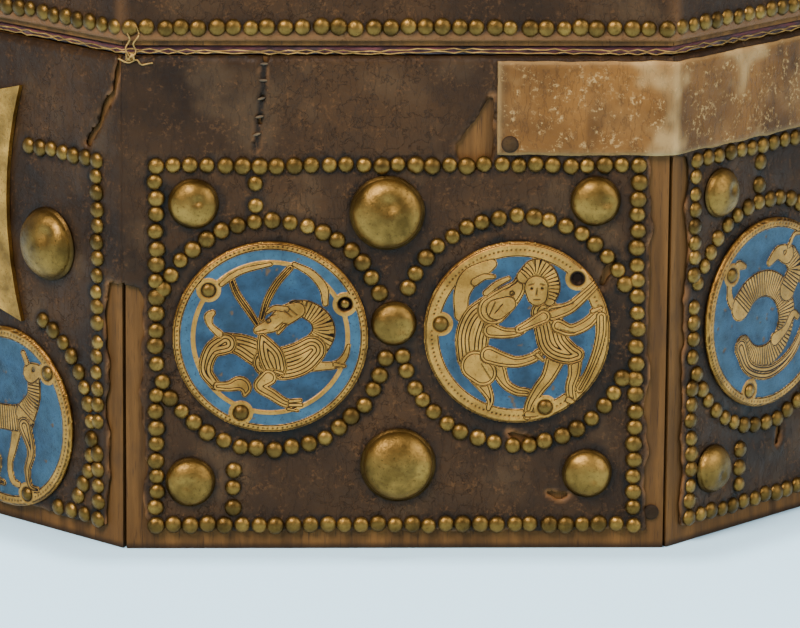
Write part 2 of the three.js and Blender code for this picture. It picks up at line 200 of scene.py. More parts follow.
def node(tree, kind, give=0, settings=None, **inputs):
    """Adds a node with its settings and links, and gives back one of its outputs.

    An input is called by its name, or by an underscore and its number. It is a value, a hex colour
    or the socket that feeds it. The setting "stops" holds the places and colours of a ramp.
    """
    made = tree.nodes.new(kind)
    for key, value in (settings or {}).items():
        if key == "stops":
            elements = made.color_ramp.elements
            while len(elements) < len(value):
                elements.new(0.5)
            for element, (place, colour) in zip(elements, value):
                element.position = place
                element.color = colour if hasattr(colour, "__len__") else [colour] * 3 + [1]
        else:
            setattr(made, key, value)
    for key, value in inputs.items():
        socket = made.inputs[int(key[1:])] if key[1:].isdigit() else made.inputs[key.replace("_", " ")]
        if isinstance(value, bpy.types.NodeSocket):
            tree.links.new(value, socket)
        else:
            socket.default_value = linear(value) if str(value).startswith("#") else value
    return made.outputs[give] if len(made.outputs) else made


def shade(colour, amount):
    """A lighter or darker shade of a linear colour."""
    return [min(1.0, part * amount) for part in list(colour)[:3]] + [1.0]


def three_shades(colour, low, high, deep=0.55, bright=1.5):
    """Ramp stops from a deep to a bright shade of a colour."""
    middle = (low + high) / 2
    return {"stops": [(low, shade(colour, deep)), (middle, shade(colour, 1)), (high, shade(colour, bright))]}


def thin_line(half_width, strength=1.0):
    """Ramp stops that turn the middle of a noise into thin winding lines."""
    return {"stops": [(0.5 - half_width, 0), (0.5, strength), (0.5 + half_width, 0)]}


def new_material(name):
    """An empty material and its tree."""
    material = bpy.data.materials.new(name)
    material.use_nodes = True
    material.node_tree.nodes.clear()
    return material, material.node_tree


def old_leather(name, colour, dust, rubbed, bloom, cracked, scuffed):
    """Vegetable-tanned hide, oiled and dried out: fine winding cracks, a dusty bloom, paler where rubbed."""
    material, tree = new_material(name)
    place = node(tree, "ShaderNodeTexCoord", "Object")
    upright = node(tree, "ShaderNodeMapping", Vector=place, Scale=(1, 1, 0.35))
    broad = node(tree, "ShaderNodeTexNoise", Vector=place, Scale=1000 / 34, Detail=5.0)
    dusted = node(tree, "ShaderNodeTexNoise", Vector=place, Scale=1000 / 21, Detail=6.0)
    fine = node(tree, "ShaderNodeTexNoise", Vector=place, Scale=1000 / 5, Detail=6.0)
    pores = node(tree, "ShaderNodeTexNoise", Vector=place, Scale=1000 / 1.3, Detail=3.0, Roughness=0.7)
    winding = node(tree, "ShaderNodeTexNoise", Vector=place, Scale=1000 / 9, Detail=5.0, Roughness=0.6)
    folded = node(tree, "ShaderNodeTexNoise", Vector=upright, Scale=1000 / 4, Detail=4.0, Roughness=0.6)
    tone = node(tree, "ShaderNodeValToRGB", settings=three_shades(colour, 0.34, 0.66), Fac=broad)
    dusty = node(
        tree, "ShaderNodeMapRange", settings=SMOOTH, Value=dusted, From_Min=0.5, From_Max=0.72, To_Max=bloom
    )
    tone = node(tree, "ShaderNodeMix", 2, COLOURS, _0=dusty, _6=tone, _7=dust)
    lines = node(tree, "ShaderNodeValToRGB", settings=thin_line(0.009, cracked), Fac=winding)
    cracks = node(
        tree, "ShaderNodeMapRange", settings=SMOOTH, Value=broad, From_Min=0.47, From_Max=0.6, To_Max=lines
    )
    creases = node(tree, "ShaderNodeValToRGB", settings=thin_line(0.02), Fac=folded)
    # Painted shade: the crease lines darken towards #120b07 as if shaded in their folds.
    crease_shade = node(tree, "ShaderNodeMath", settings=TIMES_PLUS, _0=creases, _1=0.3, _2=0.0)
    tone = node(tree, "ShaderNodeMix", 2, COLOURS, _0=cracks, _6=tone, _7="#160d07")
    tone = node(tree, "ShaderNodeMix", 2, COLOURS, _0=crease_shade, _6=tone, _7="#120b07")
    # The attribute read here darkens the hide towards #100b06: dirt, and painted shade round nail heads,
    # discs and bosses, in the joint under the lid and along the sewn slit.
    grime = node(tree, "ShaderNodeAttribute", "Fac", {"attribute_name": "grime"})
    tone = node(tree, "ShaderNodeMix", 2, COLOURS, _0=grime, _6=tone, _7="#100b06")
    worn = node(tree, "ShaderNodeAttribute", "Fac", {"attribute_name": "worn"})
    cluster = node(
        tree, "ShaderNodeMapRange", settings=SMOOTH, Value=fine, From_Min=0.45, From_Max=0.62, To_Max=scuffed
    )
    flecks = node(
        tree, "ShaderNodeMapRange", settings=SMOOTH, Value=pores, From_Min=0.5, From_Max=0.66, To_Max=cluster
    )
    bare = node(tree, "ShaderNodeMath", settings={"operation": "MAXIMUM"}, _0=worn, _1=flecks)
    tone = node(tree, "ShaderNodeMix", 2, COLOURS, _0=bare, _6=tone, _7=rubbed)
    height = node(tree, "ShaderNodeMath", settings=TIMES_PLUS, _0=pores, _1=0.3, _2=0.0)
    height = node(tree, "ShaderNodeMath", settings=TIMES_PLUS, _0=fine, _1=0.5, _2=height)
    height = node(tree, "ShaderNodeMath", settings=TIMES_PLUS, _0=cracks, _1=-0.7, _2=height)
    height = node(tree, "ShaderNodeMath", settings=TIMES_PLUS, _0=creases, _1=-0.15, _2=height)
    relief = node(tree, "ShaderNodeBump", Height=height, Distance=0.6 * MM, Strength=1.0)
    rough = node(tree, "ShaderNodeMapRange", Value=fine, From_Min=0.3, From_Max=0.7, To_Min=0.38, To_Max=0.62)
    skin = node(
        tree,
        "ShaderNodeBsdfPrincipled",
        Base_Color=tone,
        Roughness=rough,
        Normal=relief,
        Specular_IOR_Level=0.12,
    )
    node(tree, "ShaderNodeOutputMaterial", Surface=skin)
    return material


def aged_oak(colour):
    """Riven oak boards, dry and unvarnished: upright pores and darker summer bands, and painted shade along
    the foot where the boards meet the floor.
    """
    material, tree = new_material("aged_oak")
    place = node(tree, "ShaderNodeTexCoord", "Object")
    drawn = node(tree, "ShaderNodeMapping", Vector=place, Scale=(1, 1, 0.07))
    bands = node(tree, "ShaderNodeTexNoise", Vector=drawn, Scale=1000 / 5, Detail=3.0)
    pores = node(tree, "ShaderNodeTexNoise", Vector=drawn, Scale=1000 / 0.9, Detail=2.0, Roughness=0.8)
    stained = node(tree, "ShaderNodeTexNoise", Vector=place, Scale=1000 / 22, Detail=4.0)
    tone = node(tree, "ShaderNodeValToRGB", settings=three_shades(colour, 0.3, 0.7), Fac=bands)
    open_pores = node(
        tree, "ShaderNodeMapRange", settings=SMOOTH, Value=pores, From_Min=0.55, From_Max=0.72, To_Max=0.7
    )
    tone = node(tree, "ShaderNodeMix", 2, COLOURS, _0=open_pores, _6=tone, _7="#2e1c0e")
    stains = node(
        tree, "ShaderNodeMapRange", settings=SMOOTH, Value=stained, From_Min=0.5, From_Max=0.75, To_Max=0.6
    )
    tone = node(tree, "ShaderNodeMix", 2, COLOURS, _0=stains, _6=tone, _7="#3a2614")
    # Painted shade: the lowest few millimetres of the boards darken towards #1a1008, standing for the shade
    # where they meet the floor.
    height = node(tree, "ShaderNodeSeparateXYZ", 2, Vector=place)
    foot_shade = node(
        tree,
        "ShaderNodeMapRange",
        settings=SMOOTH,
        Value=height,
        From_Min=2.6 * MM,
        From_Max=0.4 * MM,
        To_Max=0.8,
    )
    tone = node(tree, "ShaderNodeMix", 2, COLOURS, _0=foot_shade, _6=tone, _7="#1a1008")
    grain = node(tree, "ShaderNodeMath", settings=TIMES_PLUS, _0=pores, _1=0.5, _2=bands)
    relief = node(tree, "ShaderNodeBump", Height=grain, Distance=0.4 * MM, Strength=1.0)
    wood = node(
        tree,
        "ShaderNodeBsdfPrincipled",
        Base_Color=tone,
        Roughness=0.72,
        Normal=relief,
        Specular_IOR_Level=0.15,
    )
    node(tree, "ShaderNodeOutputMaterial", Surface=wood)
    return material


def old_metal(name, colour, rough, metallic=0.9):
    """Cast or beaten metal, rubbed bright in patches and dull brown in the hollows."""
    material, tree = new_material(name)
    place = node(tree, "ShaderNodeTexCoord", "Object")
    broad = node(tree, "ShaderNodeTexNoise", Vector=place, Scale=1000 / 9, Detail=4.0)
    fine = node(tree, "ShaderNodeTexNoise", Vector=place, Scale=1000 / 1.2, Detail=4.0, Roughness=0.7)
    tone = node(tree, "ShaderNodeValToRGB", settings=three_shades(colour, 0.28, 0.72, 0.42, 1.7), Fac=broad)
    dull = node(
        tree, "ShaderNodeMapRange", settings=SMOOTH, Value=fine, From_Min=0.52, From_Max=0.7, To_Max=0.6
    )
    tone = node(tree, "ShaderNodeMix", 2, COLOURS, _0=dull, _6=tone, _7=shade(colour, 0.3))
    clouded = node(tree, "ShaderNodeTexNoise", Vector=place, Scale=1000 / 17, Detail=5.0, Roughness=0.65)
    tarnish = node(
        tree, "ShaderNodeMapRange", settings=SMOOTH, Value=clouded, From_Min=0.52, From_Max=0.68, To_Max=0.6
    )
    tone = node(tree, "ShaderNodeMix", 2, COLOURS, _0=tarnish, _6=tone, _7=shade(colour, 0.38))
    grime = node(tree, "ShaderNodeAttribute", "Fac", {"attribute_name": "grime"})
    tone = node(tree, "ShaderNodeMix", 2, COLOURS, _0=grime, _6=tone, _7="#20140b")
    gloss = node(
        tree,
        "ShaderNodeMapRange",
        Value=fine,
        From_Min=0.3,
        From_Max=0.7,
        To_Min=rough - 0.1,
        To_Max=rough + 0.16,
    )
    relief = node(tree, "ShaderNodeBump", Height=fine, Distance=0.16 * MM, Strength=1.0)
    metal = node(
        tree,
        "ShaderNodeBsdfPrincipled",
        Base_Color=tone,
        Roughness=gloss,
        Normal=relief,
        Metallic=metallic,
        Specular_IOR_Level=0.15,
    )
    node(tree, "ShaderNodeOutputMaterial", Surface=metal)
    return material


def champleve_enamel(blue, pale_blue, gilt):
    """Copper cut away, filled with glass and ground flat: glossy pitted blue between engraved gilding."""
    material, tree = new_material("champleve_enamel")
    place = node(tree, "ShaderNodeTexCoord", "Object")
    blotch = node(tree, "ShaderNodeTexNoise", Vector=place, Scale=1000 / 6, Detail=5.0)
    speck = node(tree, "ShaderNodeTexNoise", Vector=place, Scale=1000 / 0.9, Detail=4.0, Roughness=0.75)
    distance = node(tree, "ShaderNodeAttribute", "Fac", {"attribute_name": "gold"})
    gold = node(tree, "ShaderNodeMapRange", settings=SMOOTH, Value=distance, From_Min=-0.06, From_Max=0.1)
    edge = node(tree, "ShaderNodeAttribute", "Fac", {"attribute_name": "edge"})
    outline_stops = {"stops": [(0.12, 0), (0.26, 1), (0.4, 1), (0.54, 0)]}
    outline = node(tree, "ShaderNodeValToRGB", settings=outline_stops, Fac=edge)
    phase = node(tree, "ShaderNodeAttribute", "Fac", {"attribute_name": "hatching"})
    part = node(tree, "ShaderNodeMath", settings={"operation": "FRACT"}, _0=phase)
    hatch_stops = {"stops": [(0.24, 0), (0.4, 1), (0.6, 1), (0.76, 0)]}
    hatching = node(tree, "ShaderNodeValToRGB", settings=hatch_stops, Fac=part)
    groove = node(tree, "ShaderNodeAttribute", "Fac", {"attribute_name": "groove"})
    cut = node(tree, "ShaderNodeMath", settings={"operation": "MAXIMUM"}, _0=outline, _1=hatching)
    cut = node(tree, "ShaderNodeMath", settings={"operation": "MAXIMUM"}, _0=cut, _1=groove)
    glass = node(tree, "ShaderNodeValToRGB", settings=three_shades(blue, 0.3, 0.7, 0.5, 1.5), Fac=blotch)
    band = node(tree, "ShaderNodeAttribute", "Fac", {"attribute_name": "band"})
    pale = node(tree, "ShaderNodeValToRGB", settings=three_shades(pale_blue, 0.3, 0.7, 0.6, 1.3), Fac=blotch)
    glass = node(tree, "ShaderNodeMix", 2, COLOURS, _0=band, _6=glass, _7=pale)
    pits = node(
        tree, "ShaderNodeMapRange", settings=SMOOTH, Value=speck, From_Min=0.54, From_Max=0.68, To_Max=0.75
    )
    glass = node(tree, "ShaderNodeMix", 2, COLOURS, _0=pits, _6=glass, _7="#0b1c2c")
    lost = node(tree, "ShaderNodeAttribute", "Fac", {"attribute_name": "lost"})
    glass = node(tree, "ShaderNodeMix", 2, COLOURS, _0=lost, _6=glass, _7="#4a3826")
    metal = node(tree, "ShaderNodeValToRGB", settings=three_shades(gilt, 0.3, 0.72, 0.6, 1.35), Fac=blotch)
    clouded = node(tree, "ShaderNodeTexNoise", Vector=place, Scale=1000 / 15, Detail=5.0, Roughness=0.6)
    rubbed = node(
        tree, "ShaderNodeMapRange", settings=SMOOTH, Value=clouded, From_Min=0.5, From_Max=0.66, To_Max=0.55
    )
    metal = node(tree, "ShaderNodeMix", 2, COLOURS, _0=rubbed, _6=metal, _7="#6a4418")
    metal = node(tree, "ShaderNodeMix", 2, COLOURS, _0=pits, _6=metal, _7="#5c3a1c")
    metal = node(tree, "ShaderNodeMix", 2, COLOURS, _0=cut, _6=metal, _7="#1c1008")
    tone = node(tree, "ShaderNodeMix", 2, COLOURS, _0=gold, _6=glass, _7=metal)
    gloss = node(tree, "ShaderNodeMapRange", Value=speck, From_Min=0.3, From_Max=0.7, To_Min=0.3, To_Max=0.46)
    metallic = node(tree, "ShaderNodeMapRange", Value=gold, To_Max=0.85)
    pitted = node(tree, "ShaderNodeMath", settings=TIMES_PLUS, _0=cut, _1=-0.6, _2=speck)
    relief = node(tree, "ShaderNodeBump", Height=pitted, Distance=0.16 * MM, Strength=1.0)
    disc = node(
        tree,
        "ShaderNodeBsdfPrincipled",
        Base_Color=tone,
        Roughness=gloss,
        Metallic=metallic,
        Normal=relief,
        Specular_IOR_Level=0.25,
    )
    node(tree, "ShaderNodeOutputMaterial", Surface=disc)
    return material


def worn_silk(colour):
    """Crimson silk tabby, faded and grimed, its half-millimetre threads drawn at 3.4 mm so that they show."""
    material, tree = new_material("worn_silk")
    place = node(tree, "ShaderNodeTexCoord", "Object")
    across = {"bands_direction": "Z"}
    weave = node(tree, "ShaderNodeTexWave", "Fac", across, Vector=place, Scale=1000 / 3.4, Distortion=2.0)
    patches = node(tree, "ShaderNodeTexNoise", Vector=place, Scale=1000 / 8, Detail=5.0)
    tone = node(tree, "ShaderNodeValToRGB", settings=three_shades(colour, 0.3, 0.72, 0.3, 1.5), Fac=patches)
    dark = node(tree, "ShaderNodeMath", settings=TIMES_PLUS, _0=weave, _1=0.5, _2=0.0)
    tone = node(tree, "ShaderNodeMix", 2, COLOURS, _0=dark, _6=tone, _7="#1b1013")
    relief = node(tree, "ShaderNodeBump", Height=weave, Distance=0.3 * MM, Strength=1.0)
    silk = node(
        tree, "ShaderNodeBsdfPrincipled", Base_Color=tone, Roughness=0.7, Normal=relief, Sheen_Weight=0.25
    )
    node(tree, "ShaderNodeOutputMaterial", Surface=silk)
    return material


def spun_thread(name, colour, rough, metallic):
    """Thread with uneven wear: gilded strip round a silk core, or waxed linen."""
    material, tree = new_material(name)
    place = node(tree, "ShaderNodeTexCoord", "Object")
    patches = node(tree, "ShaderNodeTexNoise", Vector=place, Scale=1000 / 3, Detail=4.0)
    tone = node(tree, "ShaderNodeValToRGB", settings=three_shades(colour, 0.3, 0.7, 0.5, 1.7), Fac=patches)
    relief = node(tree, "ShaderNodeBump", Height=patches, Distance=0.2 * MM, Strength=1.0)
    thread = node(
        tree, "ShaderNodeBsdfPrincipled", Base_Color=tone, Roughness=rough, Normal=relief, Metallic=metallic
    )
    node(tree, "ShaderNodeOutputMaterial", Surface=thread)
    return material


def pale_paper(colour):
    """Seamless background paper, matt and faintly cool."""
    material, tree = new_material("matt_paper_floor")
    place = node(tree, "ShaderNodeTexCoord", "Object")
    soft = node(tree, "ShaderNodeTexNoise", Vector=place, Scale=1.1, Detail=2.0)
    tone = node(tree, "ShaderNodeValToRGB", settings=three_shades(colour, 0.3, 0.7, 0.96, 1.04), Fac=soft)
    paper = node(tree, "ShaderNodeBsdfPrincipled", Base_Color=tone, Roughness=0.9, Specular_IOR_Level=0.2)
    node(tree, "ShaderNodeOutputMaterial", Surface=paper)
    return material


finish = {}


def make_finishes():
    """Makes every material once, in the colours that the settings give."""
    chosen = settings()
    finish["leather"] = old_leather("oiled_hide", chosen.leather_colour, "#4a3520", "#6b4626", 0.5, 0.45, 0.3)
    finish["patch"] = old_leather(
        "tan_hide_patch", chosen.patch_colour, "#94693a", "#b08c5a", 0.25, 0.12, 0.6
    )
    finish["oak"] = aged_oak(chosen.oak_colour)
    finish["brass"] = old_metal("aged_brass", chosen.brass_colour, 0.36)
    finish["gilt"] = old_metal("gilded_copper", chosen.gilt_colour, 0.34)
    finish["iron"] = old_metal("rusted_iron", linear("#33220f"), 0.85, 0.0)
    finish["enamel"] = champleve_enamel(chosen.enamel_colour, chosen.band_colour, chosen.gilt_colour)
    finish["silk"] = worn_silk(chosen.silk_colour)
    finish["thread"] = spun_thread("gilt_thread", linear("#8d6a33"), 0.5, 0.55)
    finish["flax"] = spun_thread("waxed_flax_thread", linear("#423018"), 0.8, 0.0)
    finish["paper"] = pale_paper(stage_settings().paper_colour)


# Where the nails go


def along(x0, y0, x1, y1, pitch):
    """Points on a straight row, as near to the pitch as whole steps allow."""
    count = max(2, round(math.hypot(x1 - x0, y1 - y0) / pitch) + 1)
    t = np.linspace(0, 1, count)
    return np.stack([x0 + (x1 - x0) * t, y0 + (y1 - y0) * t], axis=1)


def around(x, y, radius, start, end, pitch):
    """Points on an arc, as near to the pitch as whole steps allow."""
    count = max(2, round(abs(end - start) * radius / pitch) + 1)
    t = np.linspace(start, end, count)
    return np.stack([x + radius * np.cos(t), y + radius * np.sin(t)], axis=1)


# Places on a side are across from its middle, up from the foot, then a disc's radius or a boss's width
COLUMN = 81.0
FOOT_ROW = 8.7
TOP_ROW = 133.6
LID_ROW = 4.7
UPPER_RING = 39.8
LOWER_RING = 39.6
LOCK_RING = 40
NAIL_WANDER = 0.22
CROWDED = 0.62
SHORT_ROWS = ((-47.5, 120, -47.5, 127.6), (-55, 15.2, -55, 28))
LOCK_FOOT_ROWS = ((-COLUMN, -61), (-13, 13), (61, COLUMN))
LOCK_TOP_ROWS = ((-COLUMN, -48), (48, COLUMN))
MEDALLION_SPOTS = ((-42.6, 74.6, 33.0), (40.6, 76.2, 31.5))
LOCK_SPOTS = ((-38.0, 37.0, 32.75), (38.0, 37.0, 31.5))
SIDE_BOSSES = {
    "upper_left_boss": (-68.4, 120.5, 17.2),
    "upper_right_boss": (66.5, 121.4, 17.0),
    "lower_left_boss": (-69.6, 23.9, 17.0),
    "lower_right_boss": (65.0, 26.8, 17.0),
    "upper_big_boss": (-3.6, 117.4, 25.4),
    "lower_big_boss": (0.8, 29.8, 25.6),
    "middle_boss": (-1.0, 79.2, 15.4),
}
LOCK_BOSSES = {"lock_side_left_boss": (-58.0, 101.0, 25.4), "lock_side_right_boss": (57.6, 101.0, 25.4)}


def side_rows(pitch):
    """The frame, the rings and the two short rows of a side without a lock."""
    rows = [along(-COLUMN, height, COLUMN, height, pitch) for height in (FOOT_ROW, TOP_ROW)]
    for sign, (x, y, _) in zip((1, -1), MEDALLION_SPOTS):
        turn = 0 if sign > 0 else math.pi
        rows.append(around(x, y, UPPER_RING, turn + sign * 0.39, turn + sign * 2.72, pitch))
        rows.append(around(x, y, LOWER_RING, turn - sign * 0.2, turn - sign * 2.72, pitch))
    return rows + [along(*row, pitch) for row in SHORT_ROWS]


def lock_rows(pitch):
    """The broken rows and the part rings that leave room for the lock plate."""
    rows = [along(start, FOOT_ROW, end, FOOT_ROW, pitch) for start, end in LOCK_FOOT_ROWS]
    rows += [along(start, TOP_ROW, end, TOP_ROW, pitch) for start, end in LOCK_TOP_ROWS]
    low, high = -0.6, 1.15
    for sign, (x, y, _) in zip((-1, 1), LOCK_SPOTS):
        start, end = (low, high) if sign > 0 else (math.pi - high, math.pi - low)
        rows.append(around(x, y, LOCK_RING, start, end, pitch))
    return rows


def nail_places(side):
    """The nail heads of a side, each a little off its line and none on top of another."""
    pitch = settings().nail_pitch / MM
    rows = lock_rows(pitch) if side == LOCK_SIDE else side_rows(pitch)
    rows += [along(x, FOOT_ROW + pitch, x, TOP_ROW - pitch, pitch) for x in (-COLUMN, COLUMN)]
    places = np.concatenate(rows)
    places = places + np.random.default_rng(40 + side).normal(0, NAIL_WANDER, places.shape)
    kept = []
    for place in places:
        if all(math.dist(place, other) > pitch * CROWDED for other in kept):
            kept.append(tuple(place))
    return np.array(kept)


def round_pieces(side):
    """The discs and the bosses of a side."""
    return (LOCK_SPOTS, LOCK_BOSSES) if side == LOCK_SIDE else (MEDALLION_SPOTS, SIDE_BOSSES)


# Leather sheets


LEATHER_FOOT = 5.7
RAGGED_FOOT = 6.6
TOP_LAP = 0.3
BARE_CORNER = 85.2
BARE_HEIGHTS = {LOCK_SIDE: 94, FRONT: 137}
USUAL_BARE_HEIGHT = 122
SLIM = 0.6
SEWN_SLIT = [(-44.8, 171, 0.4), (-45.2, 160, 0.35), (-46.5, 150, 0.4), (-47.6, 139.6, 0.45)]
CORNER_TEAR = [
    (93.5, 171, 1.7),
    (91, 165, 1.3),
    (89.5, 158, 1.1),
    (85, 152, 1.3),
    (82.5, 146, 1.1),
    (77, 139, 1.5),
]
FRONT_LOSSES = [
    SEWN_SLIT,
    [(31.2, 157, 0.7), (29.6, 150, 2.5), (27.6, 144, 4.8), (25.8, 138.8, 6.4)],
    [(38, 41.5, 0.6), (42, 38.5, 2.0), (47, 37.5, 1.2)],
    [(69, 92, 0.7), (71.5, 97, 1.7), (73, 101, 0.8)],
    [(52, 20, 0.5), (56, 18.5, 1.1), (60.5, 19.5, 0.4)],
]


def side_losses(side):
    """What a sheet has lost: tapered strokes of x, height and half width, besides its bare corners."""
    if side == FRONT:
        return FRONT_LOSSES
    if side == LOCK_SIDE:
        return [CORNER_TEAR]
    rng = np.random.default_rng(70 + side)
    losses = []
    for _ in range(3):
        x, y = rng.uniform(-70, 70), rng.uniform(137, 160) if rng.random() < 0.5 else rng.uniform(14, 30)
        lean = rng.uniform(-3, 3)
        losses.append([(x, y, 0.5), (x + lean, y + 4, rng.uniform(1, 2.4)), (x + 1.6 * lean, y + 8, 0.5)])
    return losses


def stroke_distance(x, y, points):
    """Distance from the edge of a tapered stroke, negative inside it, and how far along it each place is."""
    best, travel = np.full(np.shape(x), 1e9), np.zeros(np.shape(x))
    done = 0.0
    for (ax, ay, ar), (bx, by, br) in zip(points[:-1], points[1:]):
        length = math.hypot(bx - ax, by - ay) + 1e-9
        t = np.clip(((x - ax) * (bx - ax) + (y - ay) * (by - ay)) / length**2, 0, 1)
        gap = np.hypot(x - ax - t * (bx - ax), y - ay - t * (by - ay)) - (ar + (br - ar) * t)
        nearer = gap < best
        travel = np.where(nearer, done + t * length, travel)
        best = np.minimum(best, gap)
        done += length
    return best, travel


def bare_heights(side):
    """How far up the wood is bare at a side's left and right corners."""
    return [BARE_HEIGHTS.get(corner % SIDES, USUAL_BARE_HEIGHT) for corner in (side - 1, side)]


def leather_left(side, x, z):
    """Distance in millimetres into the leather that is left, negative where it has gone."""
    ragged = 1.5 * rough_noise(x, z, 11, 5 + side)
    keep = (z - RAGGED_FOOT) + 0.9 * rough_noise(x, z, 8, 25 + side)
    for sign, height in zip((-1, 1), bare_heights(side)):
        strip = BARE_CORNER - sign * x + ragged
        above = z - height + 1.5 * ragged
        keep = np.minimum(keep, np.maximum(strip, above))
    for points in side_losses(side):
        gone, _ = stroke_distance(x, z, points)
        frayed = 0.12 if max(half_width for _, _, half_width in points) < SLIM else 0.35
        keep = np.minimum(keep, gone + frayed * rough_noise(x, z, 3.2, 60 + side))
    return keep


def onto_edges(side, x, z, cell, end):
    """Moves the grid's points that lie next to a torn edge on to it, so that the edge has no steps."""
    keep = leather_left(side, x, z)
    slope = 0.2
    dx = (leather_left(side, x + slope, z) - leather_left(side, x - slope, z)) / (2 * slope)
    dz = (leather_left(side, x, z + slope) - leather_left(side, x, z - slope)) / (2 * slope)
    steep = np.maximum(np.hypot(dx, dz), 0.3)
    inside = (np.abs(x) < end - 0.5) & (z > LEATHER_FOOT + 0.3) & (z < BODY_TOP - 1)
    near = (np.abs(keep) < 0.75 * cell * steep) & inside
    x = np.where(near, x - keep * dx / steep**2, x)
    z = np.where(near, z - keep * dz / steep**2, z)
    return x, z, np.where(near, 0.0, keep)


def leather_marks(side, x, z, keep, gap):
    """Dirt and painted shade beside nails, bosses and discs, painted shade in the joint at the top and along
    the sewn slit, and wear along torn edges.
    """
    discs, bosses = round_pieces(side)
    round_gap, inner = np.full(x.shape, 99.0), np.zeros(x.shape)
    for u, v, width in [(u, v, radius * 2) for u, v, radius in discs] + list(bosses.values()):
        round_gap = np.minimum(round_gap, np.abs(np.hypot(x - u, z - v) - width / 2))
    for u, v, _ in discs:
        inner = np.maximum(inner, step(np.hypot(x - u, z - v), 42, 36))
    ragged = 0.9 * rough_noise(x, z, 4, 93 + side)
    # Dark halos round the nail heads and at the edges of discs and bosses are dirt and painted shade where
    # they stand on the leather; the wider ring inside the nail rings round the discs is dirt.
    grime = 0.9 * step(gap + ragged, 4.4, 2.8) + 0.6 * step(round_gap + ragged, 2.6, 0.4) + 0.3 * inner
    grime = np.clip(grime * (0.75 + 0.4 * rough_noise(x, z, 9, 90 + side)), 0, 1)
    # Painted shade: the top edge of the sheet darkens where it rolls into the joint under the lid.
    grime = np.maximum(grime, 0.5 * step(z, BODY_TOP - 1.2, BODY_TOP))
    worn = step(keep, 1.5, 0.0) * (0.45 + 0.75 * rough_noise(x, z, 5, 33 + side))
    if side == FRONT:
        slit, _ = stroke_distance(x, z, SEWN_SLIT)
        # Painted shade: a dark line along the lips of the sewn slit.
        grime = np.maximum(grime, 0.85 * step(slit + 0.2 * rough_noise(x, z, 3, 91), 0.6, 0.1))
        lips = 0.6 * step(slit, 2.0, 0.8) * step(slit, 0.4, 0.8) * step(noise(x, z, 4, 92), 0.1, 0.6)
        worn = np.maximum(worn * step(slit, 1.5, 4.0), lips)
    return {"grime": grime, "worn": np.clip(worn, 0, 1)}


def leather_lift(side, x, z, keep, gap, end):
    """How far the skin rises: old waves, dents at the nails, curled tears, and folds at corners and top."""
    lift = 0.24 * rough_noise(x, z, 19, 11 + side) + 0.14 * rough_noise(x, 0.5 * z, 4.5, 14 + side)
    lift = lift - 0.35 * step(gap, 4.2, 2.0) - 0.5 * step(keep, 1.4, 0.0)
    lift = lift + 0.22 * step(keep, 4.5, 2.2) * step(keep, 0.6, 2.0)
    lift = lift * step(end - np.abs(x), 0, 7)
    lift = lift - 0.45 * np.clip((np.abs(x) - end + 3.2) / 3.2, 0, 1) ** 2
    lift = lift - 1.3 * step(z, BODY_TOP - 2.2, BODY_TOP + TOP_LAP) ** 2
    return np.minimum(lift, 0.5)


def leather_side(side, cell):
    """One torn sheet of leather, from corner to corner."""
    end, top = LEATHER_FACE * HALF_TURN, BODY_TOP + TOP_LAP
    columns, rows = int(2 * end / cell) + 1, int((top - LEATHER_FOOT) / cell) + 1
    x, z = np.meshgrid(np.linspace(-end, end, columns), np.linspace(LEATHER_FOOT, top, rows))
    x, z, keep = onto_edges(side, x.ravel(), z.ravel(), cell, end)
    gap = np.full(x.shape, 99.0)
    for u, v in nail_places(side):
        gap = np.minimum(gap, np.hypot(x - u, z - v))
    out = SKIN_OUT + leather_lift(side, x, z, keep, gap, end)
    front = on_side(side, x * (1 + (out - SKIN_OUT) / LEATHER_FACE), z, out)
    back = on_side(side, x * (1 - SKIN / LEATHER_FACE), z, TOUCH)
    faces = grid_faces(columns, rows, keep > -0.01)
    values = leather_marks(side, x, z, keep, gap)
    places, faces, values = only_used(np.concatenate([front, back], axis=1), faces, values)
    places, faces, values = thickened(places[:, :3], places[:, 3:], faces, values)
    name, replaced = f"leather_cover_{side}", (f"leather_side_{side}",)
    finished_piece(name, places, faces, finish["leather"], values, replaces=replaced)


# Domes


BRIM = 0.93


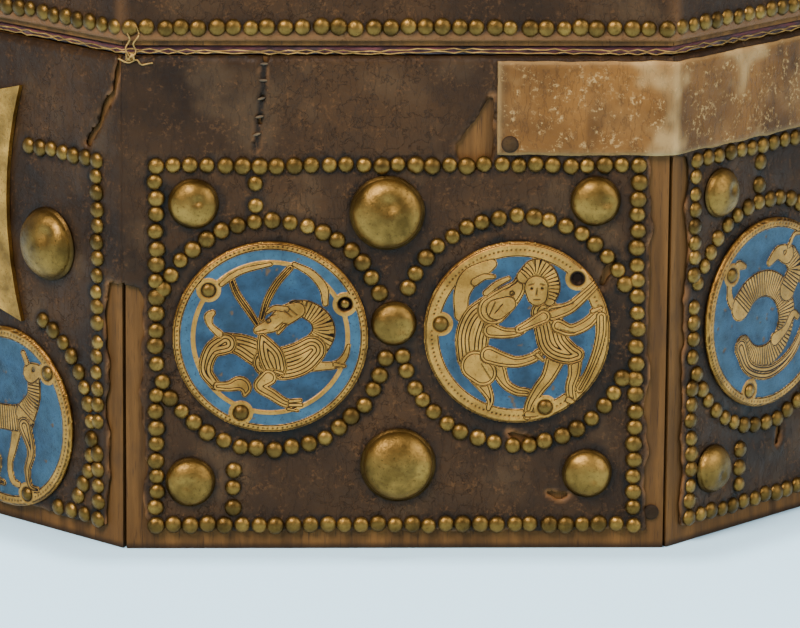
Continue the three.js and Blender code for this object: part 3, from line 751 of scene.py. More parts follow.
def dome(name, side, x, z, width, base, seed, metal="brass", replaces=(), rise=0.27):
    """A beaten dome with a thin flat brim, a little dented, and dirty along the brim and on the tip."""
    spokes, ring_count = (40, 12) if width > 12 else (24, 8)
    radius, crown = width / 2, rise * width
    profile = [(1.0, -0.5), (1.0, 0.35), (BRIM, 0.62)]
    for t in np.linspace(0.14, math.pi / 2, ring_count)[:-1]:
        profile.append((BRIM * math.cos(t), 0.6 + (crown - 0.6) * math.sin(t)))
    profile.append((0.0, crown))
    rng = np.random.default_rng(seed)
    dent_x, dent_y, dent_size = rng.uniform(-0.5, 0.5), rng.uniform(-0.5, 0.5), rng.uniform(0.25, 0.5)
    angle = np.arange(spokes) * 2 * math.pi / spokes
    rings, grime = [], []
    for reach, height in profile:
        u, v = reach * np.cos(angle), reach * np.sin(angle)
        wobble = 1 + 0.014 * noise(np.cos(angle) * 3, np.sin(angle) * 3, 1.7, seed + 5)
        beaten = 0.1 * noise(u * radius, v * radius, 3.2, seed + 6)
        dent = 0.055 * width * np.exp(-((u - dent_x) ** 2 + (v - dent_y) ** 2) / dent_size**2 * 3)
        hill = height + beaten * (height > 0.5) - dent * (height > 0.8)
        rings.append(np.stack([u * radius * wobble, v * radius * wobble, np.maximum(hill, 0)], axis=1))
        dirt = 0.75 * float(step(height, 1.3, 0.2)) + 0.25 * float(step(reach, 0.3, 0.0))
        grime.append(np.full(spokes, dirt))
    tip = (len(rings) - 1) * spokes
    index = np.arange(tip).reshape(-1, spokes)
    after = np.roll(index, -1, axis=1)
    faces = np.stack([index[:-1], after[:-1], after[1:], index[1:]], axis=-1).reshape(-1, 4).tolist()
    faces += [(a, b, tip) for a, b in zip(index[-1], after[-1])]
    faces.append(index[0, ::-1].tolist())
    places = placed(side, x, z, np.concatenate(rings)[: tip + 1], base)
    values = {"grime": np.concatenate(grime)[: tip + 1]}
    finished_piece(name, places, faces, finish[metal], values, replaces=replaces)


# Nails as Geometry Nodes


ANY_TURN = 6.28


def nail_tree(name, material):
    """Puts a low round head on each point, turned as the point faces, with uneven size, lean and dirt."""
    tree = bpy.data.node_groups.new(name, "GeometryNodeTree")
    socket = tree.interface.new_socket
    socket("Geometry", in_out="INPUT", socket_type="NodeSocketGeometry")
    sizes = {
        "Head width": 5.6 * MM,
        "Head height": 1.9 * MM,
        "Unevenness": 0.08,
        "Length ratio": 1.0,
        "Spin": ANY_TURN,
    }
    for label, default in sizes.items():
        socket(label, in_out="INPUT", socket_type="NodeSocketFloat").default_value = default
    socket("Seed", in_out="INPUT", socket_type="NodeSocketInt").default_value = 7
    socket("Geometry", in_out="OUTPUT", socket_type="NodeSocketGeometry")
    given = node(tree, "NodeGroupInput").node.outputs
    ratio = node(
        tree,
        "ShaderNodeMath",
        settings={"operation": "DIVIDE"},
        _0=given["Head height"],
        _1=given["Head width"],
    )
    double = node(tree, "ShaderNodeMath", settings={"operation": "MULTIPLY"}, _0=ratio, _1=2.0)
    flat = node(tree, "ShaderNodeCombineXYZ", _0=given["Length ratio"], _1=1.0, _2=double)
    half = node(tree, "ShaderNodeMath", settings={"operation": "MULTIPLY"}, _0=given["Head width"], _1=0.5)
    head = node(tree, "GeometryNodeMeshUVSphere", "Mesh", Segments=12, Rings=7, Radius=half)
    squat = node(tree, "GeometryNodeTransform", Geometry=head, Scale=flat)
    facing = node(
        tree, "GeometryNodeInputNamedAttribute", settings={"data_type": "FLOAT_VECTOR"}, Name="facing"
    )
    least = node(tree, "ShaderNodeMath", settings={"operation": "SUBTRACT"}, _0=1.0, _1=given["Unevenness"])
    most = node(tree, "ShaderNodeMath", settings={"operation": "ADD"}, _0=1.0, _1=given["Unevenness"])
    number, vector = {"data_type": "FLOAT"}, {"data_type": "FLOAT_VECTOR"}
    size = node(tree, "FunctionNodeRandomValue", 1, number, _2=least, _3=most, Seed=given["Seed"])
    points = given["Geometry"]
    spread = node(
        tree, "GeometryNodeInstanceOnPoints", Points=points, Instance=squat, Rotation=facing, Scale=size
    )
    lean = 0.12
    least_turned = (-lean, -lean, 0.0)
    most_turned = node(tree, "ShaderNodeCombineXYZ", _0=lean, _1=lean, _2=given["Spin"])
    turn = node(
        tree, "FunctionNodeRandomValue", 0, vector, _0=least_turned, _1=most_turned, Seed=given["Seed"]
    )
    tilted = node(tree, "GeometryNodeRotateInstances", Instances=spread, Rotation=turn)
    tone = node(tree, "FunctionNodeRandomValue", 1, number, _2=0.0, _3=0.4, Seed=given["Seed"])
    stored = {"data_type": "FLOAT", "domain": "INSTANCE"}
    marked = node(
        tree, "GeometryNodeStoreNamedAttribute", settings=stored, Geometry=tilted, Name="grime", Value=tone
    )
    whole = node(tree, "GeometryNodeRealizeInstances", Geometry=marked)
    smooth = node(tree, "GeometryNodeSetShadeSmooth", Geometry=whole)
    coated = node(tree, "GeometryNodeSetMaterial", Geometry=smooth, Material=material)
    node(tree, "NodeGroupOutput", Geometry=coated)
    return tree


def nail_row(name, places, facings, tree, width, height, seed, ratio=1.0, spin=ANY_TURN):
    """A plain mesh of heads at the given places, made by the tree and then freed from it."""
    mesh = bpy.data.meshes.new(name)
    mesh.from_pydata([tuple(p) for p in places], [], [])
    facing = mesh.attributes.new("facing", "FLOAT_VECTOR", "POINT")
    facing.data.foreach_set("vector", np.asarray(facings, np.float32).ravel())
    holder = bpy.data.objects.new(name + "_points", mesh)
    bpy.context.collection.objects.link(holder)
    modifier = holder.modifiers.new("heads", "NODES")
    modifier.node_group = tree
    sockets = {item.name: item.identifier for item in tree.interface.items_tree if item.in_out == "INPUT"}
    modifier[sockets["Head width"]] = width * MM
    modifier[sockets["Head height"]] = height * MM
    modifier[sockets["Length ratio"]] = ratio
    modifier[sockets["Spin"]] = spin
    modifier[sockets["Seed"]] = seed
    graph = bpy.context.evaluated_depsgraph_get()
    made = bpy.data.meshes.new_from_object(holder.evaluated_get(graph))
    bpy.data.objects.remove(holder)
    piece = bpy.data.objects.new(name, made)
    bpy.context.collection.objects.link(piece)
    settle(piece)


def side_facing(side, count):
    """The turn that stands a head on a side, once for each head."""
    turn = Matrix.Rotation(side * TURN, 3, "Z") @ Matrix.Rotation(math.pi / 2, 3, "X")
    return np.tile(np.array(turn.to_euler()), (count, 1))


# Medallions


def curve(points, steps=6):
    """Extra points along a smooth line through x, y and half width."""
    p = np.array(points, float)
    p = np.concatenate([[2 * p[0] - p[1]], p, [2 * p[-1] - p[-2]]])
    made = []
    for a, b, c, d in zip(p[:-3], p[1:-2], p[2:-1], p[3:]):
        bend, twist = 2 * a - 5 * b + 4 * c - d, 3 * b - a - 3 * c + d
        for t in np.arange(steps) / steps:
            made.append(0.5 * (2 * b + (c - a) * t + bend * t**2 + twist * t**3))
    made.append(p[-2])
    made = np.array(made)
    made[:, 2] = np.maximum(made[:, 2], 0.25)
    return [tuple(row) for row in made]


def spiral(x, y, start, turns, big, small, thick, thin):
    """Points of a coiled stroke that tapers inwards."""
    points = []
    for t in np.linspace(0, 1, 14):
        angle, reach = start + turns * 2 * math.pi * t, big + (small - big) * t
        points.append((x + reach * math.cos(angle), y + reach * math.sin(angle), thick + (thin - thick) * t))
    return points


# A design's strokes are x, y and half width in hundredths of the disc's radius, the later ones on top.
# A stroke is plain, has a double outline, or is engraved with fine lines across it or along it. Eyes and
# short marks are cut last. The ring is a thin gilt circle, and the gilt border begins at the rim.
HORNED_BEAST = {
    "strokes": [
        ("plain", [(34, -28, 9), (54, -30, 5), (68, -28, 4.6), (76, -20, 4), (80, -8, 2.4)]),
        ("plain", [(66, -28, 3), (76, -30, 2.2)]),
        ("along", [(-50, -5, 10), (-32, -7, 11.5), (-14, -16, 14), (2, -28, 13)]),
        ("across", [(44, -12, 14), (54, 4, 12.5), (51, 19, 11), (38, 29, 10), (25, 31, 9)]),
        ("along", [(-2, -26, 16), (14, -27, 18), (30, -22, 18), (42, -13, 15.5)]),
        ("along", [(-9, 2, 4), (-5, -8, 9), (1, -20, 13), (5, -32, 12)]),
        ("plain", [(-9, -37, 2.2), (2, -35, 2.4), (13, -38, 2.2)]),
        ("along", [(-12, 12, 3.4), (-22, 28, 4), (-34, 46, 4), (-41, 64, 3.6)]),
        ("along", [(-9, 20, 3.4), (-3, 40, 4), (7, 58, 4), (20, 73, 3.8)]),
        ("plain", [(27, 29, 9), (16, 24, 11), (2, 14, 8.5), (-13, 8, 5)]),
        ("plain", [(16, 30, 4), (4, 31, 3.4), (-4, 26, 2)]),
        ("plain", [(14, 13, 3), (8, 5, 2.4)]),
        ("along", [(-46, -6, 12), (-60, -14, 9), (-66, -34, 7.5), (-56, -50, 6)]),
        ("double", [(-54, -51, 5), (-42, -51, 6), (-31, -48, 8), (-25, -53, 6.5), (-26, -60, 3)]),
        ("plain", [(-52, 4, 4.4), (-61, 13, 3.6), (-63, 22, 5), (-59, 26, 3.6)]),
        ("double", [(-2, -42, 9), (-11, -51, 6.5), (2, -60, 6), (14, -68, 5.4), (24, -70, 5)]),
        ("plain", [(20, -67, 2.6), (31, -66, 2.4)]),
        ("plain", [(20, -71, 2.6), (32, -71, 2.4)]),
        ("plain", [(18, -75, 2.4), (28, -77, 2)]),
        ("plain", [(24, 77, 3), (42, 67, 4.4), (54, 52, 5), (56, 36, 3.6)]),
        ("plain", [(-50, 56, 3), (-40, 64, 3.6), (-26, 71, 3.4), (0, 77, 2.6)]),
    ],
    "eyes": [(-2, 18, 0.75)],
    "marks": [
        (-15, 6, -4, 9), (-6, 23, 5, 24), (5, 10, 12, 16), (9, 8, 17, 15), (14, 29, 22, 22), (19, 31, 27, 24)
    ],
    "ring": 0.79,
    "rim": 92,
}
WRESTLERS = {
    "strokes": [
        ("plain", [(-60, 20, 8), (-60, 42, 9), (-52, 60, 11), (-38, 70, 9), (-28, 76, 6)]),
        ("plain", [(-46, 56, 5), (-36, 62, 4), (-26, 62, 3)]),
        ("double", [(-42, -48, 10), (-33, -62, 7), (-28, -74, 4.5), (-30, -84, 3)]),
        ("double", [(-20, -40, 9), (-12, -56, 6), (0, -64, 5.6), (12, -66, 5), (18, -72, 4)]),
        ("along", [(-48, -26, 17), (-48, -4, 18.5), (-42, 14, 18), (-32, 26, 15)]),
        ("double", [(-44, -36, 17), (-36, -44, 15)]),
        ("double", [(-30, -24, 10), (-16, -29, 8.5), (0, -32, 6.5), (16, -28, 6), (24, -22, 5.5)]),
        ("plain", [(22, -24, 3), (28, -30, 2.4)]),
        ("double", [(-28, 3, 9), (-14, 0, 6.5), (0, 1, 5.5), (10, 8, 5)]),
        ("double", [(-26, 26, 17), (-12, 38, 14), (0, 50, 9), (2, 60, 5)]),
        ("plain", [(-22, 26, 12), (-10, 32, 9)]),
        ("plain", [(-34, 44, 4), (-22, 54, 4), (-10, 60, 3)]),
        ("double", [(42, -28, 11), (34, -48, 8), (24, -62, 7), (15, -78, 6), (12, -92, 5)]),
        ("plain", [(12, -90, 4), (22, -90, 3)]),
        ("double", [(62, -24, 9), (62, -44, 7), (58, -60, 6), (60, -76, 6)]),
        ("plain", [(56, -74, 4), (66, -80, 3)]),
        ("along", [(30, 22, 16), (35, 4, 17), (40, -12, 17), (54, -22, 13), (64, -24, 9)]),
        ("double", [(38, 22, 9), (56, 28, 7), (72, 42, 6), (84, 54, 5.5)]),
        ("double", [(44, 8, 8), (58, 3, 7), (74, 10, 7), (86, 22, 6)]),
        ("plain", [(80, 24, 3), (90, 28, 2.4)]),
        ("double", [(28, 18, 8), (12, 9, 6), (2, 4, 5)]),
        ("double", [(90, 18, 6), (90, 0, 6), (86, -20, 5.4), (78, -42, 5), (68, -62, 5)]),
        ("across", [(6, 62, 8), (18, 72, 10), (31, 66, 10), (37, 50, 9), (34, 36, 7)]),
        ("plain", [(20, 50, 13.5), (21, 41, 11.5)]),
    ],
    "eyes": [(15, 49, 0.3), (26, 49, 0.3), (-6, 44, 0.7)],
    "marks": [
        (12, 53, 17, 54),
        (24, 54, 29, 53),
        (20.5, 49, 20, 42),
        (17, 37, 24, 37),
        (-12, 48, 0, 58),
        (-24, 22, -16, 32),
        (-30, 20, -24, 34),
        (34, 24, 60, 33),
        (46, 4, 62, 0),
        (-38, -34, -28, -50),
    ],
    "ring": None,
    "rim": 84,
}
STANDING_BEAST = {
    "strokes": [
        ("plain", [(-40, -14, 9), (-50, -34, 6), (-42, -52, 5), (-46, -70, 5), (-34, -74, 4)]),
        ("plain", [(16, -8, 8), (10, -32, 6), (4, -52, 5), (8, -70, 5), (18, -74, 4)]),
        ("across", [(-40, -8, 16), (-18, -2, 15), (8, 0, 15), (28, 4, 16)]),
        ("across", [(30, 8, 15), (42, 28, 11), (43, 48, 10)]),
        ("plain", [(38, 56, 12), (50, 60, 8), (62, 56, 6)]),
        ("plain", [(32, 66, 4), (26, 76, 4)]),
        ("along", [(-38, -12, 11), (-28, -36, 7), (-14, -52, 5.5), (-18, -72, 5), (-6, -76, 4)]),
        ("along", [(28, -6, 11), (38, -32, 7), (32, -54, 5.5), (36, -72, 5), (48, -74, 4)]),
        (
            "plain",
            [
                (-48, -2, 5),
                (-66, 14, 4.4),
                (-64, 38, 4),
                (-44, 48, 4),
                (-26, 38, 4),
                (-26, 58, 7),
                (-16, 70, 3),
            ],
        ),
    ],
    "eyes": [(42, 60, 0.7)],
    "ring": None,
    "rim": 88,
}
COILED_BEAST = {
    "strokes": [
        ("plain", [(-44, 8, 8), (-64, 22, 5.5), (-66, 44, 4.5), (-54, 58, 6), (-42, 56, 3)]),
        ("across", spiral(-12, -8, 2.6, -0.82, 42, 37, 15, 12)),
        (
            "along",
            [
                (-46, -30, 10),
                (-32, -54, 8),
                (0, -64, 8),
                (32, -54, 7),
                (54, -28, 5.5),
                (62, 4, 4.6),
                (50, 28, 4),
                (32, 32, 4),
            ],
        ),
        ("across", [(28, 20, 13), (40, 40, 12), (32, 56, 11)]),
        ("plain", [(26, 58, 11), (12, 62, 8), (-2, 54, 5)]),
        ("plain", [(28, 66, 3), (38, 78, 3), (52, 76, 1.6)]),
        ("plain", [(10, -30, 8), (26, -22, 5), (38, -8, 4.6), (46, -12, 4)]),
    ],
    "eyes": [(22, 61, 0.7)],
    "ring": None,
    "rim": 90,
}
DESIGNS = (HORNED_BEAST, WRESTLERS, STANDING_BEAST, COILED_BEAST)


def medallion_fields(design, u, v, seed, radius):
    """Values that carve and colour a disc, from places in hundredths of its radius."""
    reach = np.hypot(u, v)
    unit, rim, ring = radius / 100, design["rim"], design["ring"]
    gold = (reach - rim) * unit
    edge = np.where(gold > 0, gold, 1.0)
    hatching = np.zeros(reach.shape)
    angle = np.arctan2(v, u)
    dots, line = 120, (rim + 98) / 2 + 0.6
    swing = (angle * dots / (2 * math.pi)) % 1 - 0.5
    bead = np.hypot(swing * 2 * math.pi / dots * line * unit, (reach - line) * unit)
    groove = np.maximum(step(np.abs(reach - 98) * unit, 0.3, 0.1), step(bead, 0.5, 0.2))
    if ring:
        inside = 0.8 - np.abs(reach - 100 * ring) * unit
        edge = np.where(inside > 0, 1.0, edge)
        gold = np.maximum(gold, inside)
    for style, points in design["strokes"]:
        gap, travel = stroke_distance(u, v, curve(points))
        inside = -gap * unit
        on = inside > 0
        gold = np.maximum(gold, inside)
        edge = np.where(on, inside, edge)
        groove = np.where(on, 0.0, groove)
        lines = {
            "plain": 0 * u,
            "double": np.clip((inside - 0.75) / 0.95, 0, 0.99),
            "along": (inside - 0.33) / 1.25,
            "across": travel * unit / 1.15,
        }
        hatching = np.where(on, lines[style] * (inside > 0.25), hatching)
    for x, y, size in design["eyes"]:
        gap = np.hypot(u - x, v - y) * unit
        groove = np.maximum(groove, np.maximum(step(np.abs(gap - size), 0.4, 0.15), step(gap, 0.35, 0.1)))
        hatching = np.where(gap < size + 0.3, 0.0, hatching)
    for x0, y0, x1, y1 in design.get("marks", ()):
        gap, _ = stroke_distance(u, v, [(x0, y0, 0), (x1, y1, 0)])
        groove = np.maximum(groove, step(gap * unit, 0.34, 0.12))
    band = step(reach, 100 * ring, 100 * ring + 3) if ring else 0.55 * step(reach, 55, 90)
    band = np.maximum(band, 0.4 * step(rough_noise(u, v, 26, seed), 0.1, 0.9))
    lost = step(rough_noise(u, v, 11, seed + 9), 1.0, 1.2) * step(gold, 0, -0.5)
    return {"gold": gold, "edge": edge, "hatching": hatching, "groove": groove, "band": band, "lost": lost}


RIVET_PLACES = (
    [(-0.63, 0.5), (0.76, 0.35), (-0.3, -0.79)],
    [(-0.82, 0.1), (0.31, -0.82), (0.64, 0.6)],
)
FRONT_HOLES = ((0.76, 0.35, 2.2), (0.64, 0.6, 1.7))
WASHER = 4.2


def medallion(
    name, side, x, z, radius, design, seed, cell, base=TRIM_OUT, mirror=False, replaces=(), holes=()
):
    """A cut and gilded copper disc with enamel in its hollows. Gives back where its rivets go.

    Rivets and holes are in shares of the radius, and a hole also has its own radius.
    """
    count = int(2 * radius / cell) // 2 * 2 + 1
    line = np.linspace(-radius, radius, count)
    u, v = (grid.ravel() for grid in np.meshgrid(line, line))
    reach = np.hypot(u, v)
    near = np.abs(reach - radius) < 0.72 * (line[1] - line[0])
    pull = np.where(near, radius / np.maximum(reach, 1e-6), 1.0)
    u, v = u * pull, v * pull
    reach = np.hypot(u, v)
    values = medallion_fields(design, (-u if mirror else u) * 100 / radius, v * 100 / radius, seed, radius)
    gold, groove, edge = values["gold"], values["groove"], values["edge"]
    rivets = RIVET_PLACES[seed % 2]
    for ru, rv in rivets:
        gap = np.hypot(u - ru * radius, v - rv * radius)
        washer = WASHER - gap
        gold = np.maximum(gold, washer)
        edge = np.where(washer > 0, np.maximum(washer, edge), edge)
        groove = np.where(gap < 3.6, step(gap, 3.1, 2.4), groove)
    high = step(gold, -0.12, 0.14)
    height = 1.28 + 0.42 * high - 0.12 * groove * high - 0.3 * values["lost"] * (1 - high)
    height = height + 0.06 * rough_noise(u, v, 4, seed + 3) + 0.16 * noise(u, v, 19, seed + 4)
    height = height - 0.9 * step(reach, radius - 0.9, radius) ** 2
    for ru, rv, width in holes:
        gap = np.hypot(u - ru * radius, v - rv * radius)
        groove = np.maximum(groove, step(gap, width + 0.5, width - 0.1))
        height = height - 1.0 * step(gap, width + 0.25, width - 0.15)
    values.update(gold=np.clip(gold, -1, 1), groove=np.clip(groove, 0, 1), edge=np.clip(edge, 0, 1))
    face, faces, values = only_used(
        np.stack([u, v, height], axis=1), grid_faces(count, count, reach < radius + 0.02), values
    )
    solid, faces, values = thickened(face, face * (1, 1, 0), faces, values)
    finished_piece(
        name, placed(side, x, z, solid, base), faces, finish["enamel"], values, replaces=replaces
    )
    empty = [hole[:2] for hole in holes]
    return [(x + ru * radius, z + rv * radius) for ru, rv in rivets if (ru, rv) not in empty]


# Settings that a user changes


def colour_setting(name, description, hex_colour):
    """A colour that the user picks."""
    return bpy.props.FloatVectorProperty(
        name=name, description=description, default=linear(hex_colour), size=4, min=0, max=1, subtype="COLOR"
    )


def length_setting(name, description, millimetres):
    """A length that the user sets."""
    return bpy.props.FloatProperty(
        name=name, description=description, default=millimetres * MM, unit="LENGTH"
    )


class CasketSettings(bpy.types.PropertyGroup):
    """Sizes and colours of the casket"""

    nail_width: length_setting("Nail width", "Width of a small nail head", 5.95)
    nail_height: length_setting("Nail height", "Height of a small nail head", 2.0)
    nail_pitch: length_setting("Nail spacing", "Distance between small nails in a row", 5.75)
    leather_cell: length_setting("Leather mesh", "Distance between the points of the front leather", 1.0)
    enamel_cell: length_setting("Enamel mesh", "Distance between the points of the front medallions", 0.36)
    leather_colour: colour_setting("Leather", "Colour of the oiled leather cover", "#2d1b0a")
    patch_colour: colour_setting("Repair", "Colour of the tan leather repair", "#5f3c17")
    oak_colour: colour_setting("Oak", "Colour of the bare boards", "#573817")
    brass_colour: colour_setting("Brass", "Colour of the nails and bosses", "#735527")
    gilt_colour: colour_setting("Gilding", "Colour of the gilded copper", "#a67534")
    enamel_colour: colour_setting("Enamel", "Colour of the blue field", "#182f40")
    band_colour: colour_setting("Pale enamel", "Colour of the outer band of enamel", "#2b4655")
    silk_colour: colour_setting("Silk", "Colour of the silk edge in the joint", "#561a1c")


class StageSettings(bpy.types.PropertyGroup):
    """Lights, lens and paper"""

    key_power: bpy.props.FloatProperty(
        name="Key light", description="Power of the main soft light", default=92.0, min=0
    )
    fill_power: bpy.props.FloatProperty(
        name="Fill light", description="Power of the soft light on the other hand", default=34.0, min=0
    )
    sky: bpy.props.FloatProperty(
        name="Surround", description="Strength of the even surrounding light", default=0.42, min=0
    )
    lens: bpy.props.FloatProperty(
        name="Lens", description="Focal length of the camera", default=258.24, unit="CAMERA"
    )
    top_power: bpy.props.FloatProperty(
        name="Top light", description="Power of the small light overhead", default=24.0, min=0
    )
    paper_colour: colour_setting("Paper", "Colour of the paper floor", "#c8ebff")


def settings():
    """The casket's settings in the open scene."""
    return bpy.context.scene.casket_settings


def stage_settings():
    """The stage's settings in the open scene."""
    return bpy.context.scene.casket_stage


# Operators

SEEN_SIDES = (FRONT, RIGHT, LOCK_SIDE)
NAIL_SUNK = 0.25
STITCHES = ((-44.9, 168.2), (-45.2, 162.6), (-45.8, 156.4), (-46.4, 150.2), (-47.3, 144.2))


class CASKET_OT_boards(bpy.types.Operator):
    """Finishes the oak boards that show at the corners and under the lid"""

    bl_idname = "casket.boards"
    bl_label = "Oak boards"

    def execute(self, context):
        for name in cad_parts:
            if "board" in name:
                coat(name, finish["oak"])
        return {"FINISHED"}


class CASKET_OT_leather(bpy.types.Operator):
    """Stretches the torn leather over the eight sides"""

    bl_idname = "casket.leather"
    bl_label = "Leather cover"

    def execute(self, context):
        fine = settings().leather_cell / MM
        for side in range(SIDES):
            leather_side(side, fine if side in SEEN_SIDES else 1.6 * fine)
        self.stitches()
        return {"FINISHED"}

    def stitches(self):
        """Sews the slit shut with flax, a little crooked."""
        tree = nail_tree("slit_stitches", finish["flax"])
        places = on_side(FRONT, *np.transpose(STITCHES), SKIN_OUT + 0.1)
        facings = side_facing(FRONT, len(places))
        nail_row("slit_stitches", places, facings, tree, 0.9, 0.45, 5, ratio=3.1, spin=0.3)


class CASKET_OT_nails(bpy.types.Operator):
    """Drives the small brass nails of the sides"""

    bl_idname = "casket.nails"
    bl_label = "Small nails"

    def execute(self, context):
        tree = nail_tree("small_nail_heads", finish["brass"])
        chosen = settings()
        width, height = chosen.nail_width / MM, chosen.nail_height / MM
        for side in range(SIDES):
            places = on_side(side, *nail_places(side).T, SKIN_OUT - NAIL_SUNK)
            facings = side_facing(side, len(places))
            nail_row(f"small_nails_{side}", places, facings, tree, width, height, 3 + side)
        return {"FINISHED"}


class CASKET_OT_bosses(bpy.types.Operator):
    """Sets the large and small domed bosses"""

    bl_idname = "casket.bosses"
    bl_label = "Bosses"

    def execute(self, context):
        for side in range(SIDES):
            own = side in (FRONT, LOCK_SIDE)
            for i, (name, (x, z, width)) in enumerate(round_pieces(side)[1].items()):
                label, replaced = (f"domed_{name}", (name,)) if own else (f"domed_{name}_{side}", ())
                dome(label, side, x, z, width, TRIM_OUT, 200 + 10 * side + i, replaces=replaced)
        return {"FINISHED"}


class CASKET_OT_medallions(bpy.types.Operator):
    """Cuts, gilds and enamels the medallions, and rivets them on"""

    bl_idname = "casket.medallions"
    bl_label = "Medallions"

    def execute(self, context):
        fine = settings().enamel_cell / MM
        tree = nail_tree("rivet_heads", finish["brass"])
        for side in range(SIDES):
            rivets = []
            for hand, (x, z, radius) in enumerate(round_pieces(side)[0]):
                design, mirror = self.design(side, hand)
                end = ("left", "right")[hand]
                rivets += medallion(
                    f"enamel_{side}_{end}",
                    side,
                    x,
                    z,
                    radius,
                    design,
                    seed=2 * (side * 2 + hand) + hand,
                    cell=self.coarseness(side, hand) * fine,
                    mirror=mirror,
                    replaces=(f"medallion_{side}_{end}",),
                    holes=(FRONT_HOLES[hand],) if side == FRONT else (),
                )
            heads = on_side(side, *np.transpose(rivets), TRIM_OUT + 1.2)
            facings = side_facing(side, len(heads))
            nail_row(f"medallion_rivets_{side}", heads, facings, tree, 5.2, 1.7, 30 + side)
        x, z, radius = MEDALLION_SPOTS[0]
        u, v, _ = FRONT_HOLES[0]
        sunken = on_side(FRONT, [x + u * radius], [z + v * radius], TRIM_OUT + 0.7)
        nail_row("medallion_small_rivet", sunken, side_facing(FRONT, 1), tree, 3.1, 1.0, 44)
        return {"FINISHED"}

    def design(self, side, hand):
        """The design of a disc, and whether it is mirrored."""
        if side == FRONT:
            return DESIGNS[hand], False
        if side == LOCK_SIDE:
            return STANDING_BEAST, hand == 0
        if side == RIGHT:
            return (COILED_BEAST, HORNED_BEAST)[hand], hand == 1
        return DESIGNS[(side + 2 * hand) % len(DESIGNS)], (side + hand) % 2 == 0

    def coarseness(self, side, hand):
        """How much coarser a disc's mesh is than those of the front."""
        if side == FRONT:
            return 1
        return 1.3 if (side, hand) in ((LOCK_SIDE, 1), (RIGHT, 0)) else 2.1


class CASKET_OT_lock(bpy.types.Operator):
    """Gilds the lock plate"""

    bl_idname = "casket.lock"
    bl_label = "Lock plate"

    def execute(self, context):
        coat("lock_plate", finish["gilt"])
        return {"FINISHED"}


PATCH_START = 33.0
PATCH_END = 4.0
PATCH_FOOT = 137.3
PATCH_THICK = 1.3


class CASKET_OT_patch(bpy.types.Operator):
    """Wraps the tan leather repair round the corner and nails it"""

    bl_idname = "casket.patch"
    bl_label = "Leather repair"

    def execute(self, context):
        end = TRIM_BACK * HALF_TURN
        bend, length = end - PATCH_START, 2 * end - PATCH_START + PATCH_END
        low, high = PATCH_FOOT, BODY_TOP - 1.1
        columns, rows = int(length / 1.2) + 1, 27
        s, z = np.meshgrid(np.linspace(0, length, columns), np.linspace(low, high, rows))
        s, z = s.ravel(), z.ravel()
        edge = np.minimum(np.minimum(s, length - s), np.minimum(z - low, high - z))
        ragged = 0.5 * rough_noise(s, z, 7, 300)
        z = z + ragged * step(edge, 2, 0) * np.sign((low + high) / 2 - z) * 0.6
        s = np.clip(s + 0.4 * rough_noise(z, s, 5, 301) * step(edge, 1.5, 0), 0, length)
        corner = step(np.abs(s - bend), 3.0, 0)
        out = PATCH_THICK + 0.14 * rough_noise(s, z, 14, 302) + 0.07 * rough_noise(s, z, 4, 303)
        out = out - 0.7 * step(edge, 1.3, 0) ** 2 - 0.35 * corner**2
        creased = step(rough_noise(s, z, 16, 304), 0.2, 0.9)
        worn = np.clip(0.4 * step(edge, 1.6, 0) + 0.3 * corner + 0.5 * creased, 0, 1)
        grime = 0.4 * step(rough_noise(s, 0.5 * z, 9, 305), 0.3, 1.0) + 0.35 * step(s, 5, 0)
        skins = []
        for level in (TRIM_OUT + out, TRIM_OUT + np.zeros(out.shape)):
            stretch = (WALL_FACE + level) / TRIM_BACK
            front = on_side(FRONT, end * stretch - (bend - s), z, level)
            turned = on_side(RIGHT, -end * stretch + (s - bend), z, level)
            skins.append(np.where((s <= bend)[:, None], front, turned))
        places, faces, values = thickened(*skins, grid_faces(columns, rows), {"worn": worn, "grime": grime})
        leather, replaced = finish["patch"], ("leather_patch",)
        finished_piece(
            "tan_leather_patch", places, faces, leather, values, replaces=replaced
        )
        above = TRIM_OUT + PATCH_THICK
        dome("patch_iron_nail", FRONT, 37.4, 141.2, 5.8, above, 77, "iron", ("patch_nail",), rise=0.2)
        dome("iron_nail_foot", FRONT, 87.2, 12.6, 5.2, TOUCH, 78, "iron", rise=0.2)
        return {"FINISHED"}


LID_LAP = 1.7
LID_BEND = 3
LID_BEND_OUT = SKIN_OUT - LID_BEND
LID_BOSS_RING = 134
LID_NAIL_RING = 52


